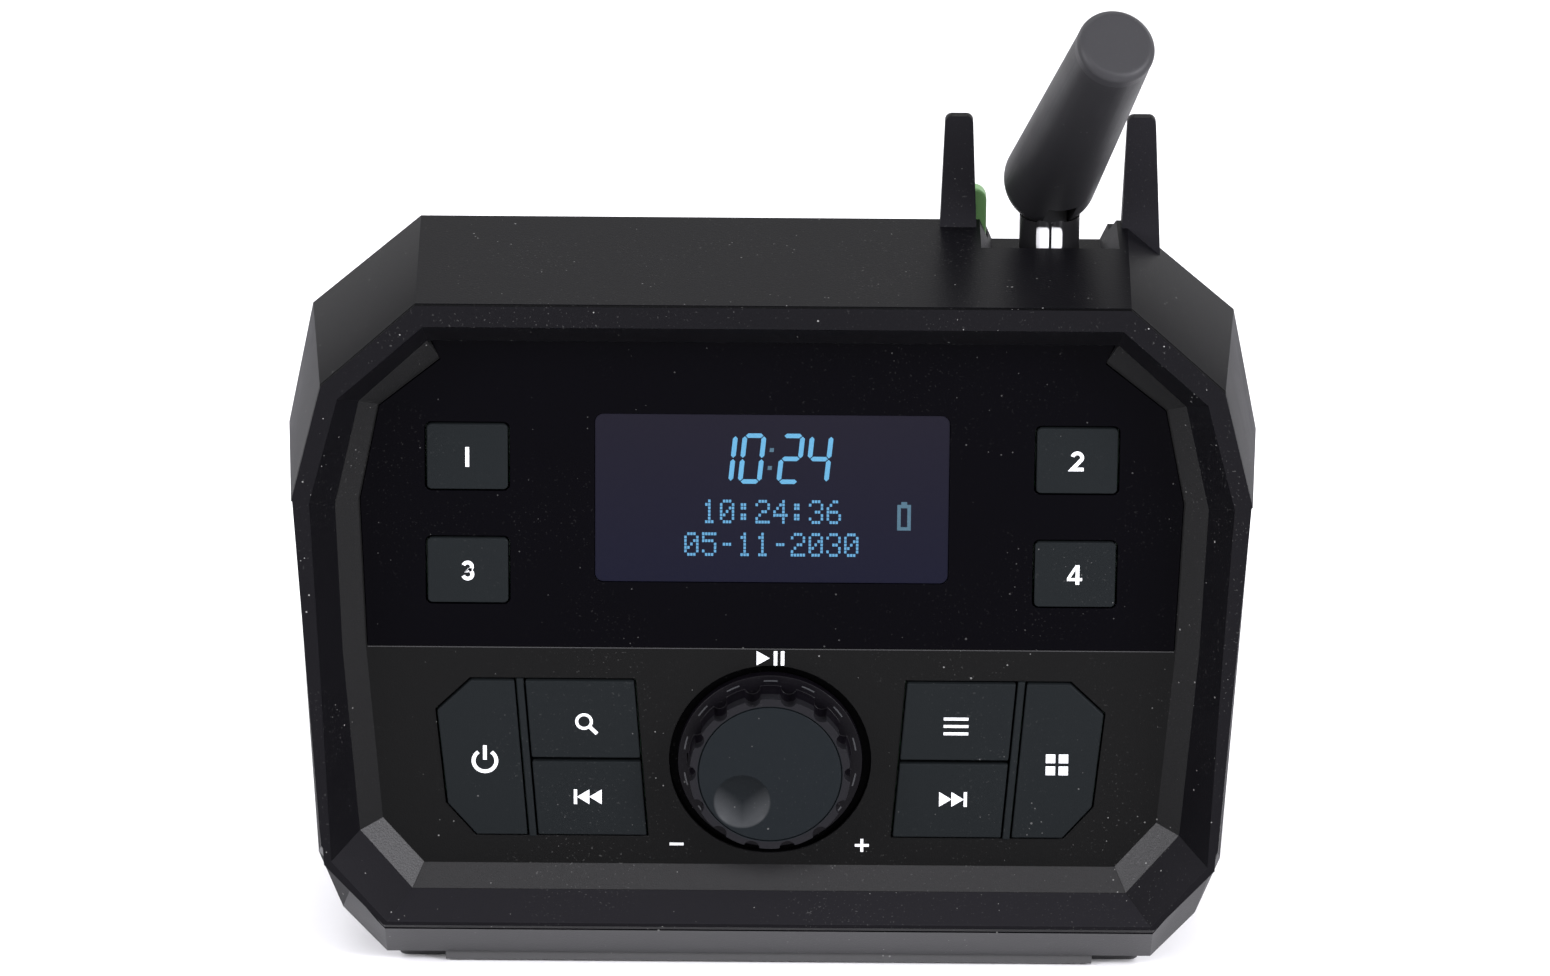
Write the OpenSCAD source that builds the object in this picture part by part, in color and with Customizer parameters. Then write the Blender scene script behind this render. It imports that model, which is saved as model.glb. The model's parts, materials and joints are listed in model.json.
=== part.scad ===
// Rugged compact digital radio with a fluted dial, keys, a stub antenna and side speakers.
// Front view looks along +Y, +Z is up, and the origin is on the floor under the middle of the body.

/* [Body] */
// Overall width at the widest line of the sides
body_w = 167.2; // [162:0.1:178]
// Height of the flat top above the floor
body_h = 121.6; // [119:0.1:128]
// Depth from the rim to the rear wall
body_d = 88; // [84:0.5:100]
// Depth of the flat top, from the rim to its rear edge
top_d = 48.3; // [46:0.1:50]
// Width of the flat top
top_w = 121; // [116:0.5:126]
// Width across the shoulders
shoulder_w = 158.4; // [153:0.1:160]
// Drop from the flat top to the shoulders
shoulder_drop = 15.9; // [13:0.1:18]
// Drop from the flat top to the widest line
widest_drop = 37.7; // [35:0.1:40]
// Width across the lower corners
low_w = 155.8; // [153:0.1:159]
// Height of the lower corners
low_h = 20.5; // [18:0.1:22]
// Setback of the underside from the widest line, on each side
bottom_set = 18.1; // [17:0.1:20]
// Bulge of the lower corners out of the line between their ends
corner_bulge = 2; // [1:0.1:2.4]
// Wall thickness of the housings
wall = 2.6; // [2.2:0.1:3.2]
// Step from the upper sides in to the lower sides
side_step = 0.9; // [0.5:0.1:1.4]
// Width of the rear wall
rear_w = 136; // [130:0.5:142]
// Width of the rear wall's top edge
rear_top_w = 104; // [100:0.5:108]
// Height of the rear wall
rear_h = 74; // [70:0.5:78]

/* [Front rim] */
// Width of the rim at its widest line
rim_w = 161; // [158:0.1:163]
// Width of the rim's top edge
rim_top_w = 119; // [115:0.5:121]
// Width of the rim across its shoulders
rim_shoulder_w = 150.8; // [147:0.1:153]
// Drop from the top to the rim's shoulders
rim_shoulder_drop = 14.4; // [13:0.1:16]
// Drop from the top to the rim's widest line
rim_widest_drop = 34.7; // [33:0.1:36]
// Width of the rim across its lower corners
rim_low_w = 152.8; // [150:0.1:155]
// Height of the rim's lower corners
rim_low_h = 24.6; // [22:0.1:26]
// Height of the rim's bottom crest
rim_bottom_h = 10.2; // [9.4:0.1:11]
// Depth of the chamfer under the rim
chamfer_d = 7.4; // [7:0.1:8]
// Thickness of the bezel's front lip
lip_t = 1.2; // [1:0.1:1.6]
// Width of the rim's front face at the sides
rim_face = 3; // [2.4:0.1:3.6]
// Width of the rim's front face at the top
rim_face_top = 3.7; // [3:0.1:4.2]
// Depth of the funnel from the rim to the panel's bevel
flank_d = 7; // [6.4:0.1:7.3]
// Wall of the bezel's funnel
bezel_t = 1.3; // [1:0.1:1.6]
// Width and depth of the grooves along the housing's seams
seam_w = 0.4; // [0.3:0.05:0.6]

/* [Control panel] */
// Height of the panel's middle line above the floor
panel_h = 73.4; // [72:0.1:74]
// Width of the bevelled edge round the panel
strip_w = 3.8; // [3.2:0.1:4.2]
// Depth of the bevelled edge round the panel
strip_d = 2.7; // [2.2:0.1:3]
// Thickness of the panel
panel_t = 2.6; // [2.2:0.1:3]
// Flange of the panel behind the bezel
panel_flange = 1.5; // [1.2:0.1:2]
// Setback of the flat panel from the rim, on each side
panel_set = 10.8; // [10:0.1:11.5]
// Height of the flat panel's top above the middle line
panel_top = 35.9; // [35:0.1:36.5]
// Depth of the flat panel's bottom below the middle line
panel_bottom = 55.6; // [55.2:0.1:56.4]
// Level of the window's lower edge below the middle line
window_drop = 15.9; // [15.4:0.1:16.4]
// Thickness of the display window
window_t = 1.3; // [1.1:0.1:1.6]
// Height by which the window stands proud of the panel
window_proud = 0.2; // [0.1:0.05:0.4]
// Width of the display
display_w = 59.8; // [56:0.1:62]
// Height of the display
display_h = 30.2; // [28:0.1:32]
// Height of the display's middle above the middle line
display_z = 11; // [10.5:0.1:11.5]

/* [Keys] */
// Width of a preset button
preset_w = 13.6; // [12.6:0.1:14.4]
// Height of a preset button
preset_h = 11.6; // [10.6:0.1:12.4]
// Distance of the preset buttons from the middle
preset_x = 51.3; // [50.6:0.1:52]
// Height of the upper preset buttons above the middle line
preset_upper = 18.3; // [17.8:0.1:19]
// Depth of the lower preset buttons below the middle line
preset_lower = 2.1; // [1.6:0.1:2.6]
// Height by which the preset buttons stand proud of the window
preset_proud = 0.3; // [0.2:0.05:0.5]
// Height by which the function keys stand proud of the panel
key_proud = 0.5; // [0.3:0.05:0.8]
// Gap round a key
key_gap = 0.35; // [0.3:0.01:0.4]
// Travel of the buttons and keys
key_travel = 0.6; // [0.4:0.05:0.8]
// Width of the bar between the function keys
key_bar = 1.2; // [1:0.1:1.4]
// Lean of the function keys' edges, as a share of their height
key_lean = 0.077; // [0.06:0.001:0.09]

/* [Knob] */
// Diameter of the round recess behind the knob
knob_recess_d = 34.4; // [33.6:0.1:35]
// Diameter of the knob's base skirt
knob_skirt_d = 31.4; // [30.6:0.1:32]
// Diameter of the knob over its flutes
knob_d = 28.2; // [27.4:0.1:29]
// Number of flutes round the knob
knob_flutes = 14; // [10:1:18]
// Diameter of the flutes
flute_d = 2.8; // [2.2:0.1:3.4]
// Depth of the flutes
flute_depth = 1.1; // [0.8:0.05:1.3]
// Diameter of the knob's fluted crown
crown_d = 27.4; // [26.6:0.1:28]
// Thickness of the knob's crown
crown_t = 2.6; // [2.4:0.1:3]
// Diameter of the ring groove in the crown's face
knob_cap_d = 24.6; // [24:0.1:25.2]
// Height of the cap's face above the panel
knob_proud = 6.6; // [6:0.1:7.4]
// Drop of the knob's centre below the middle line
knob_drop = 36.4; // [36.2:0.05:36.8]
// Diameter of the finger dimple
dimple_d = 9.8; // [9:0.1:10.4]
// Depth of the finger dimple
dimple_depth = 1.5; // [1:0.1:1.7]
// Distance of the finger dimple from the knob's centre
dimple_r = 6.9; // [6.4:0.1:7]
// Travel of the knob when it is pressed
knob_travel = 0.6; // [0.4:0.05:0.8]
// Diameter of the encoder's shaft
shaft_d = 6; // [5.6:0.1:6.4]

/* [Antenna] */
// Distance of the antenna from the middle
antenna_x = 47.1; // [46.8:0.1:47.4]
// Distance of the antenna in front of the flat top's rear edge
antenna_inset = 3.4; // [3:0.1:3.8]
// Diameter of the antenna's collar
collar_d = 10.3; // [9.6:0.1:10.8]
// Height of the collar above the flat top
collar_rise = 2.2; // [1.8:0.1:2.4]
// Diameter of the two plated lobes in the collar's front
lobe_d = 2.4; // [2:0.1:2.6]
// Height of the antenna's pivot above the flat top
pivot_rise = 8.6; // [8.2:0.1:9]
// Diameter of the antenna's rounded lower end
bulb_d = 15.9; // [15:0.1:16.4]
// Diameter of the antenna's tip
tip_d = 13.2; // [12.4:0.1:14]
// Length of the antenna from its pivot
antenna_l = 51.2; // [47:0.1:52]
// Lean of the antenna from upright at rest
antenna_lean = 46.9; // [40:0.1:50]
// Turn of the antenna to the right at rest
antenna_turn = 14.6; // [8:0.1:18]
// Diameter of the antenna's pivot pin
pivot_d = 3; // [2.6:0.1:3.4]
// Height of the guard ears above the flat top
ear_h = 19.8; // [18:0.1:22]
// Thickness of the guard ears' feet from front to back
ear_d = 4.4; // [4:0.1:5]
// Thickness of the guard ears' tops from front to back
ear_top_d = 2.2; // [1.8:0.1:2.8]
// Depth of the antenna's notch below the flat top
notch_h = 5.4; // [5:0.1:5.8]
// Depth of the antenna's notch from front to back
notch_d = 15.5; // [15:0.1:16]

/* [Sound] */
// Width of a side grille
grille_w = 36; // [33:0.5:37]
// Diameter of a speaker's frame
speaker_d = 33; // [30:0.5:34]
// Depth of a speaker's basket behind its flange
basket_d = 6; // [5:0.1:6.5]
// Thickness of a speaker's magnet
magnet_t = 5; // [4:0.1:5.5]
// Number of slots in a side grille
grille_slots = 9; // [7:1:10]
// Height of the speakers' axis
speaker_z = 49; // [46:0.5:51]

/* [Battery] */
// Width of the battery cover
cover_w = 84; // [80:0.5:88]
// Length of the battery cover down the rear slope
cover_l = 44; // [42:0.5:45]
// Thickness of the battery cover
cover_t = 2.4; // [2:0.1:2.6]
// Thickness of the battery pack
battery_t = 19; // [17:0.5:20]
// Width of the latch's thumb tab
latch_w = 7.2; // [6.6:0.1:7.4]
// Thickness of the latch's thumb tab
latch_t = 3.2; // [2.8:0.1:3.4]
// Height of the latch's thumb tab above the flat top
latch_rise = 5.4; // [5:0.1:6.4]
// Travel of the latch
latch_travel = 2.5; // [2:0.1:3]

/* [Base] */
// Height of the feet, the gap under the housings
foot_h = 2.2; // [2:0.1:2.6]
// Width of a foot
foot_w = 9; // [8:0.1:10]
// Length of a foot
foot_l = 13; // [11:0.5:15]
// Distance of the feet's middle from the edge of the underside
foot_inset = 6.5; // [6:0.1:8]
// Gap between the base plate and the floor
plate_gap = 0.4; // [0.3:0.05:0.6]

/* [Screws] */
// Shank diameter of the screws
screw_d = 3; // [2.6:0.1:3.2]
// Head diameter of the screws
screw_head_d = 5.6; // [5.2:0.1:5.8]
// Head height of the screws
screw_head_h = 2; // [1.8:0.1:2.2]

/* [Hidden] */
$fn = 64;
eps = 0.01;
clear = 0.3;
fit = 0.05;
y_rim = -body_d / 2;
y_mid = y_rim + top_d;
y_rear = body_d / 2;
y_strip = y_rim + flank_d;
y_panel = y_strip + strip_d;
y_panel_back = y_panel + panel_t;
y_seam = y_mid + 6;
bottom_w = body_w - 2 * bottom_set;
panel_w = rim_w - 2 * panel_set;
panel_shoulder_set = 3.4;
panel_shoulder_drop = 8.5;
panel_widest_drop = 25.3;
panel_waist_set = 1;
panel_low_set = 3.6;
panel_low_rise = 8.2;
panel_bottom_set = 10.6;
rear_shoulder_set = 8;
rear_shoulder_drop = 9;
rear_widest_drop = 18;
rim_step = 0.2;
rear_corner = 16;
past = 12;
slope = atan2(body_h - rear_h, y_rear - y_mid);
board_t = 1.6;
switch_h = 1.4;
switch_w = 4.5;
switch_gap = 0.2;
flange_t = 0.8;
stem_d = 3;
stem_l = 1;
y_flange = y_panel_back + clear;
y_stem = y_flange + flange_t + stem_l;
y_board = y_stem + key_travel + switch_gap + switch_h;
board_set = 8.7;
board_w = panel_w - 2 * board_set;
board_low = panel_h - panel_bottom + 2.6;
board_high = panel_h + panel_top - 4.9;
board_screw_x = board_w / 2 - 5;
board_screw_z = [board_low + 4, board_high - 4];
lcd_lap = 2.5;
lcd_gap = 0.5;
carrier_lip = 2;
display_r = 1.5;
shaft_gap = 2;
knob_z = panel_h - knob_drop;
antenna_y = y_mid - antenna_inset;
pivot_z = body_h + pivot_rise;
speaker_y = (y_strip + y_seam) / 2 + 0.8;
grille_t = 2;
grille_bar = 1.7;
grille_r = 4;
grille_edge = 4;
grille_margin = 3;
side_tilt = atan2(body_w - low_w, 2 * (body_h - widest_drop - low_h));
rim_tilt = atan2(rim_w - rim_low_w, 2 * (body_h - rim_widest_drop - rim_low_h));
mid_side = body_w / 2 - side_step - (body_h - widest_drop - speaker_z) * tan(side_tilt);
rim_side = rim_w / 2 - rim_step - (body_h - rim_widest_drop - speaker_z) * tan(rim_tilt);
side_yaw = atan2(mid_side - rim_side, top_d);
side_x = mid_side - (y_mid - speaker_y) * tan(side_yaw);
grille_sink = 0.2;
foot_back = 3.4;
boss_d = 8.5;
boss_l = 16;
boss_spots = [[50, 100], [-50, 100], [54, 18], [-54, 18]];
boss_web = 3;
pilot_d = screw_d - 0.4;
passage_d = screw_d + 0.4;
post_d = screw_d - 0.2;
head_sink = 6;
base_spots = [[-40, -20], [40, -20], [-40, 24], [40, 24]];
base_screw_l = 7;
foot_x = bottom_w / 2 - foot_inset;
foot_front = y_rim + chamfer_d + foot_l / 2 + foot_back;
foot_rear = y_rear - foot_l / 2 - 4;
rear_foot_x = foot_x - 10;
foot_spots = [[-foot_x, foot_front], [foot_x, foot_front],
              [-rear_foot_x, foot_rear], [rear_foot_x, foot_rear]];
foot_r = 1.5;
plate_set = 10;
plate_front = 0.6;
plate_rear = 6;
head_land = 0.4;
latch_set = 14.3;
latch_x = antenna_x - latch_set;
latch_foot = 12;
latch_lip = 1.4;
latch_r = 2.4;
rib_count = 5;
rib_pitch = 2.5;
rib_w = 24;
rib_t = 1.2;
rib_h = 0.8;
rib_set = 5;
cover_lap = 3;
bay_wall = wall - 1;
cover_y = (y_seam - y_mid) / cos(slope) + 3;
key_split = -42.65;
key_level = -36.4;
key_top = -21.7;
key_low = -50.6;
key_in_top = -22.9;
key_in_low = -20.7;
key_out_top = -51.1;
key_out_low = -50.2;
key_side_top = [-57, -27.4];
key_side_low = [-55.3, -44.7];
key_reach = 80;
stems = [[48.6, -36.4], [31.2, -29.2], [31.2, -43.6]];
latch_y = y_mid + clear + 0.2;
window_r = 0.8;
panel_corner = 13.8;
encoder_w = 13;
y_shaft = y_board - knob_travel - 1.4;
y_crown = y_panel - knob_proud;
recess_t = 2.2;
skirt_rise = 0.6;
y_skirt = y_panel + recess_t - knob_travel - clear;
dimple_a = 47;
dimple_sphere = (pow(dimple_d / 2, 2) + pow(dimple_depth, 2)) / (2 * dimple_depth);
speaker_flange = 3;
speaker_deep = grille_t + grille_sink + speaker_flange + basket_d + magnet_t + clear;
speaker_seat = -grille_t - grille_sink - speaker_flange;
basket_neck = 22;
basket_wall = 2;
basket_top = speaker_d - 4;
seat_d = speaker_d - 7;
cone_neck = 12;
cone_top = speaker_d - 10;
cone_t = 0.8;
magnet_d = 26;
tongue_t = 4.4;
tongue_d = 6.4;
tongue_root = 1.5;
pin_l = 12;
collar_floor = -pivot_rise - notch_h;
stub_d = collar_d - 3;
stub_l = 5;
lobe_proud = 0.5;
notch_left = antenna_x - 9.6;
notch_right = antenna_x + 9;
notch_lean = 3;
pan_w = 28;
ear_left = [-18.8, -12.4, -18.1, -13.3];
ear_right = [12.1, 19.1, 12.9, 17.8];
ear_root = 7;
ear_r = 1.2;
tip_l = 3;
tip_r = 1.4;
presets = [[-preset_x, preset_upper], [preset_x, preset_upper],
           [-preset_x, -preset_lower], [preset_x, -preset_lower]];
charcoal = [0.15, 0.15, 0.16];
black = [0.05, 0.05, 0.06];
key_grey = [0.22, 0.24, 0.26];

// Completes an outline from its right half, listed from top to bottom
function both_sides(half) = concat(half, [for (i = [len(half) - 1:-1:0]) [-half[i][0], half[i][1]]]);

// Outlines of the body seen from the front, each with a wall taken off
function body_outline(top, shoulder, wide, step, low, bulge, bottom, t) = both_sides([
    [top[0] / 2 - t, top[1] - t], [shoulder[0] / 2 - t, shoulder[1] - t / 2], [wide[0] / 2 - t, wide[1]],
    [wide[0] / 2 - step - t, wide[1] - 0.1], [low[0] / 2 - step - t, low[1] + t / 2],
    [(low[0] + bottom[0]) / 4 - step / 2 + bulge * 0.85 - t, (low[1] + bottom[1] - bulge) / 2 + t * 0.75],
    [bottom[0] / 2 - t, bottom[1] + t]]);
function rim_outline(t) = body_outline([rim_top_w, body_h], [rim_shoulder_w, body_h - rim_shoulder_drop],
    [rim_w, body_h - rim_widest_drop], rim_step, [rim_low_w, rim_low_h], corner_bulge / 8,
    [bottom_w, rim_bottom_h], t);
function mid_outline(t) = body_outline([top_w, body_h], [shoulder_w, body_h - shoulder_drop],
    [body_w, body_h - widest_drop], side_step, [low_w, low_h], corner_bulge, [bottom_w, foot_h], t);
function rear_outline(t) = body_outline([rear_top_w, rear_h],
    [rear_w - rear_shoulder_set, rear_h - rear_shoulder_drop], [rear_w, rear_h - rear_widest_drop], side_step,
    [rear_w, low_h], corner_bulge, [rear_w - rear_corner, foot_h], t);
// At the end of the chamfer the upper half is on its way from the rim to the middle
function mix(a, b, share) = [for (i = [0:len(a) - 1]) a[i] + (b[i] - a[i]) * share];
function crest_outline(t) = [for (i = [0:len(mid_outline(t)) - 1])
    abs(i - 6.5) > 3 ? mix(rim_outline(t)[i], mid_outline(t)[i], chamfer_d / top_d) : mid_outline(t)[i]];

// Outlines of the funnel in the rim and of the panel
function rim_inner(t) = both_sides([
    [rim_top_w / 2 - 1.3 + t, body_h - rim_face_top + t],
    [rim_shoulder_w / 2 - rim_face + 0.2 + t, body_h - rim_shoulder_drop - 2.2 + t / 2],
    [rim_w / 2 - rim_face + t, body_h - rim_widest_drop - 0.4],
    [(rim_w + rim_low_w) / 4 - rim_face + 0.6 + t, panel_h - window_drop],
    [rim_low_w / 2 - rim_face + 1.1 + t, rim_low_h - 2.9 - t / 2],
    [bottom_w / 2 - 0.4 + t / 2, rim_bottom_h + 0.5 - t / 2]]);
function panel_half(t) = [
    [panel_w / 2 - panel_corner + t / 2, panel_h + panel_top + t],
    [panel_w / 2 - panel_shoulder_set + t * 0.8, panel_h + panel_top - panel_shoulder_drop + t * 0.4],
    [panel_w / 2 + t, panel_h + panel_top - panel_widest_drop],
    [panel_w / 2 - panel_waist_set + t, panel_h - window_drop],
    [panel_w / 2 - panel_low_set + t, panel_h - panel_bottom + panel_low_rise - t / 3],
    [panel_w / 2 - panel_bottom_set + t / 2, panel_h - panel_bottom - t]];
function panel_outline(t) = both_sides(panel_half(t));

// Extrudes a front-view outline from y0 back by t
module slab(y0, t) {
    translate([0, y0 + t, 0]) rotate([90, 0, 0]) linear_extrude(t) children();
}

// Solid through a row of front-view outlines, each given as [y, points]
module loft(sections) {
    n = len(sections[0][1]);
    last = len(sections) - 1;
    polyhedron(
        points = [for (c = sections, p = c[1]) [p[0], c[0], p[1]]],
        faces = concat(
            [[for (i = [0:n - 1]) i], [for (i = [n - 1:-1:0]) last * n + i]],
            [for (k = [0:last - 1], i = [0:n - 1]) [k * n + i, (k + 1) * n + i, (k + 1) * n + (i + 1) % n]],
            [for (k = [0:last - 1], i = [0:n - 1])
                [k * n + i, (k + 1) * n + (i + 1) % n, k * n + (i + 1) % n]]));
}

// Outer form of the whole body and the hollow inside it
module body_form(t) {
    loft([[y_rim, rim_outline(t)], [y_rim + chamfer_d, crest_outline(t)], [y_mid, mid_outline(t)],
          [y_rear, rear_outline(t)]]);
}
module body_hollow() {
    loft([[y_strip, crest_outline(wall + 0.4)], [y_mid, mid_outline(wall + 0.8)],
          [y_rear - wall, rear_outline(wall)]]);
}

// Funnel from the rim to the panel, grown by a wall
module funnel(t) {
    loft([[y_rim - 1, rim_inner(t)], [y_rim, rim_inner(t)], [y_strip, panel_outline(strip_w + t)],
          [y_strip + 1, panel_outline(strip_w + t)]]);
}

// Cylinder along Y from y0 to y1
module bar_y(x, z, d, y0, y1) {
    translate([x, y0, z]) rotate([-90, 0, 0]) cylinder(d = d, h = y1 - y0);
}

// Flat outline of a rectangle with round corners
module round_rect(w, h, r) {
    square([w - 2 * r, h], center = true);
    square([w, h - 2 * r], center = true);
    for (x = [-1, 1], y = [-1, 1]) {
        translate([x * (w / 2 - r), y * (h / 2 - r)]) circle(r);
    }
}

// Everything behind the plane y0 and in front of y1
module between(y0, y1) {
    translate([-body_w, y0, -body_h]) cube([2 * body_w, y1 - y0, 3 * body_h]);
}

// Frame of the rear slope: y runs down the slope and z points out of it
module on_slope() {
    translate([0, y_mid, body_h]) rotate([-slope, 0, 0]) children();
}

// Notch for the antenna, with leaning side walls
module antenna_notch() {
    slab(y_mid - notch_d, notch_d + past) polygon([
        [notch_left, body_h - notch_h], [notch_right, body_h - notch_h],
        [notch_right + notch_lean, body_h + 1], [notch_left - notch_lean + clear, body_h + 1]]);
}

// Guard ear: a fin with a rounded top, thinner towards its top, given by its edges at the foot and the top
module ear(edges, root) {
    z = body_h + ear_h;
    low = body_h - root;
    front = y_mid - ear_d;
    intersection() {
        translate([antenna_x, 0, 0]) slab(front, ear_d) union() {
            polygon([[edges[0], low], [edges[1], low], [edges[3], z - ear_r], [edges[3] - ear_r, z],
                     [edges[2] + ear_r, z], [edges[2], z - ear_r]]);
            translate([edges[2] + ear_r, z - ear_r]) circle(ear_r);
            translate([edges[3] - ear_r, z - ear_r]) circle(ear_r);
        }
        rotate([90, 0, 90]) linear_extrude(body_w) polygon([[front, low], [y_mid, low],
            [y_mid, body_h + 1], [front + ear_top_d, z], [front, z]]);
    }
}

module front_housing() {
    color(charcoal) difference() {
        union() {
            difference() {
                intersection() {
                    body_form(0);
                    between(y_rim + lip_t, y_seam);
                }
                body_hollow();
            }
            notch_pan();
            ear(ear_left, wall);
            ear(ear_right, ear_root);
            housing_bosses();
        }
        funnel(bezel_t);
        antenna_notch();
        translate([antenna_x, antenna_y, body_h - notch_h - stub_l - wall])
            cylinder(d = stub_d + 2 * fit, h = stub_l + 2 * wall);
        for (s = [-1, 1]) {
            grille_pocket(s);
        }
        for (p = boss_spots) {
            bar_y(p[0], p[1], pilot_d, y_seam - boss_l + 2, y_seam + 1);
        }
        latch_slot();
        base_screw_holes(pilot_d);
    }
}

// Bosses for the long housing screws, with webs to the walls
module housing_bosses() {
    for (p = boss_spots) {
        bar_y(p[0], p[1], boss_d, y_seam - boss_l, y_seam);
        web_h = p[1] > panel_h ? body_h - notch_h - wall - p[1] + 1 : foot_h + 1 - p[1];
        translate([p[0] - boss_web / 2, y_seam - boss_l, min(p[1], p[1] + web_h)])
            cube([boss_web, boss_l, abs(web_h)]);
    }
}

// Floor under the antenna's notch
module notch_pan() {
    translate([antenna_x - pan_w / 2, y_mid - notch_d - wall, body_h - notch_h - wall])
        cube([pan_w, notch_d + wall + y_seam - y_mid, notch_h]);
}

// Frame of a lower side wall: z points out of the wall
module on_side(s) {
    mirror([s < 0 ? 1 : 0, 0, 0]) translate([side_x, speaker_y, speaker_z])
        rotate([0, 0, -side_yaw]) rotate([0, 90 + side_tilt, 0]) children();
}

// Pocket and sound opening in a lower side wall
module grille_pocket(s) {
    on_side(s) {
        translate([0, 0, -grille_t - grille_sink])
            linear_extrude(past) round_rect(grille_w + 2 * fit, grille_w + 2 * fit, grille_r);
        translate([0, 0, -speaker_deep]) cylinder(d = speaker_d + 2 * fit, h = speaker_deep);
    }
}

module latch_slot() {
    translate([latch_x - latch_w / 2 - clear, latch_y - clear, body_h - latch_foot - 2])
        cube([latch_w + 2 * clear, latch_t + 2 * clear, latch_foot + 2 + latch_rise]);
}

// Holes for the screws that hold the base plate
module base_screw_holes(d) {
    for (p = base_spots) {
        translate([p[0], p[1], plate_gap]) cylinder(d = d, h = base_screw_l + 1);
    }
}

// Depth at which a housing screw's head seats in the rear housing
function screw_seat(p) = p[1] > rear_h ? y_mid + (body_h - p[1]) / tan(slope) - head_sink - 1
    : y_rear - head_sink;

// Rear tub: slope, rear wall and battery bay
module rear_housing() {
    color(charcoal) difference() {
        union() {
            difference() {
                union() {
                    intersection() {
                        body_form(0);
                        between(y_seam + seam_w, y_rear + 1);
                    }
                    intersection() {
                        body_form(seam_w);
                        between(y_seam, y_rear - seam_w);
                    }
                }
                body_hollow();
            }
            intersection() {
                union() {
                    battery_bay(bay_wall);
                    for (p = boss_spots) {
                        boss_end = p[1] > rear_h ? screw_seat(p) + boss_web : y_rear;
                        bar_y(p[0], p[1], boss_d + 1, y_seam, boss_end);
                    }
                }
                between(y_seam, y_rear);
                body_form(0);
            }
        }
        battery_bay(0);
        on_slope() translate([0, cover_y + cover_l / 2, -cover_t])
            linear_extrude(past) square([cover_w + 2 * fit, cover_l + 2 * fit], center = true);
        antenna_notch();
        for (p = boss_spots) {
            bar_y(p[0], p[1], screw_head_d + 0.4, screw_seat(p), y_rear + 1);
            bar_y(p[0], p[1], passage_d, y_seam - 1, y_rear);
        }
        base_screw_holes(pilot_d);
    }
}

// Block of the battery bay in the rear slope, grown by a wall
module battery_bay(t) {
    on_slope() translate([0, cover_y + cover_l / 2, -cover_t - battery_t - clear - t])
        linear_extrude(battery_t + clear + t)
            square([cover_w - 2 * cover_lap + 2 * t, cover_l - 2 * cover_lap + 2 * t], center = true);
}

// Front lip and funnel round the panel
module front_bezel() {
    color(black) difference() {
        union() {
            intersection() {
                body_form(0);
                between(y_rim, y_rim + lip_t - seam_w);
            }
            intersection() {
                body_form(seam_w);
                between(y_rim, y_rim + lip_t);
            }
            intersection() {
                funnel(bezel_t - fit);
                between(y_rim, y_strip);
            }
        }
        funnel(0);
    }
}

module control_panel() {
    color(black) difference() {
        slab(y_strip, strip_d + panel_t) polygon(panel_outline(strip_w + panel_flange));
        loft([[y_strip - 1, panel_outline(strip_w)], [y_strip, panel_outline(strip_w)],
              [y_panel, panel_outline(0)]]);
        slab(y_strip - 1, strip_d + 1) polygon(both_sides([panel_half(strip_w)[0], panel_half(0)[0]]));
        slab(y_panel, window_t - window_proud) window_outline(fit);
        slab(y_panel, panel_t + 1) translate([0, panel_h + display_z])
            square([display_w, display_h] + [2, 2] * (lcd_lap + lcd_gap), center = true);
        for (p = presets) {
            slab(y_panel, panel_t + 1) translate([p[0], panel_h + p[1]])
                round_rect(preset_w + 2 * key_gap, preset_h + 2 * key_gap, window_r + key_gap);
        }
        for (s = [-1, 1]) {
            slab(y_panel - eps, panel_t + 1) key_group(s);
        }
        bar_y(0, knob_z, knob_recess_d, y_panel - eps, y_panel + recess_t);
        bar_y(0, knob_z, shaft_d + 2 * shaft_gap, y_panel, y_panel_back + 1);
    }
}

// Outline of the display window, which reaches from the funnel's top down to its lower edge
module window_outline(grow) {
    edge = grow - clear;
    low = panel_half(edge)[3];
    polygon(both_sides([panel_half(strip_w + edge)[0], panel_half(edge)[0], panel_half(edge)[1],
                        panel_half(edge)[2], [low[0], low[1] - grow]]));
}

module display_window() {
    color(black) difference() {
        slab(y_panel - window_proud, window_t) window_outline(0);
        slab(y_panel - 1, window_t + 2) translate([0, panel_h + display_z])
            round_rect(display_w, display_h, display_r);
        for (p = presets) {
            slab(y_panel - 1, window_t + 2) translate([p[0], panel_h + p[1]])
                round_rect(preset_w + 2 * key_gap, preset_h + 2 * key_gap, window_r + key_gap);
        }
    }
}

// Display glass, seated in the window's opening
module lcd_module() {
    color([0.16, 0.15, 0.22]) union() {
        slab(y_panel, window_t) translate([0, panel_h + display_z])
            round_rect(display_w - 2 * fit, display_h - 2 * fit, display_r);
        slab(y_panel + window_t - window_proud, panel_t - window_t + window_proud)
            translate([0, panel_h + display_z])
                square([display_w, display_h] + [2, 2] * lcd_lap, center = true);
    }
}

// Frame that stands on the board and presses the display against the window
module lcd_carrier() {
    color([0.75, 0.75, 0.72]) slab(y_panel_back, y_board - y_panel_back)
        translate([0, panel_h + display_z]) difference() {
            square([display_w, display_h] + [2, 2] * lcd_lap, center = true);
            square([display_w, display_h] - [2, 2] * carrier_lip, center = true);
        }
}

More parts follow.
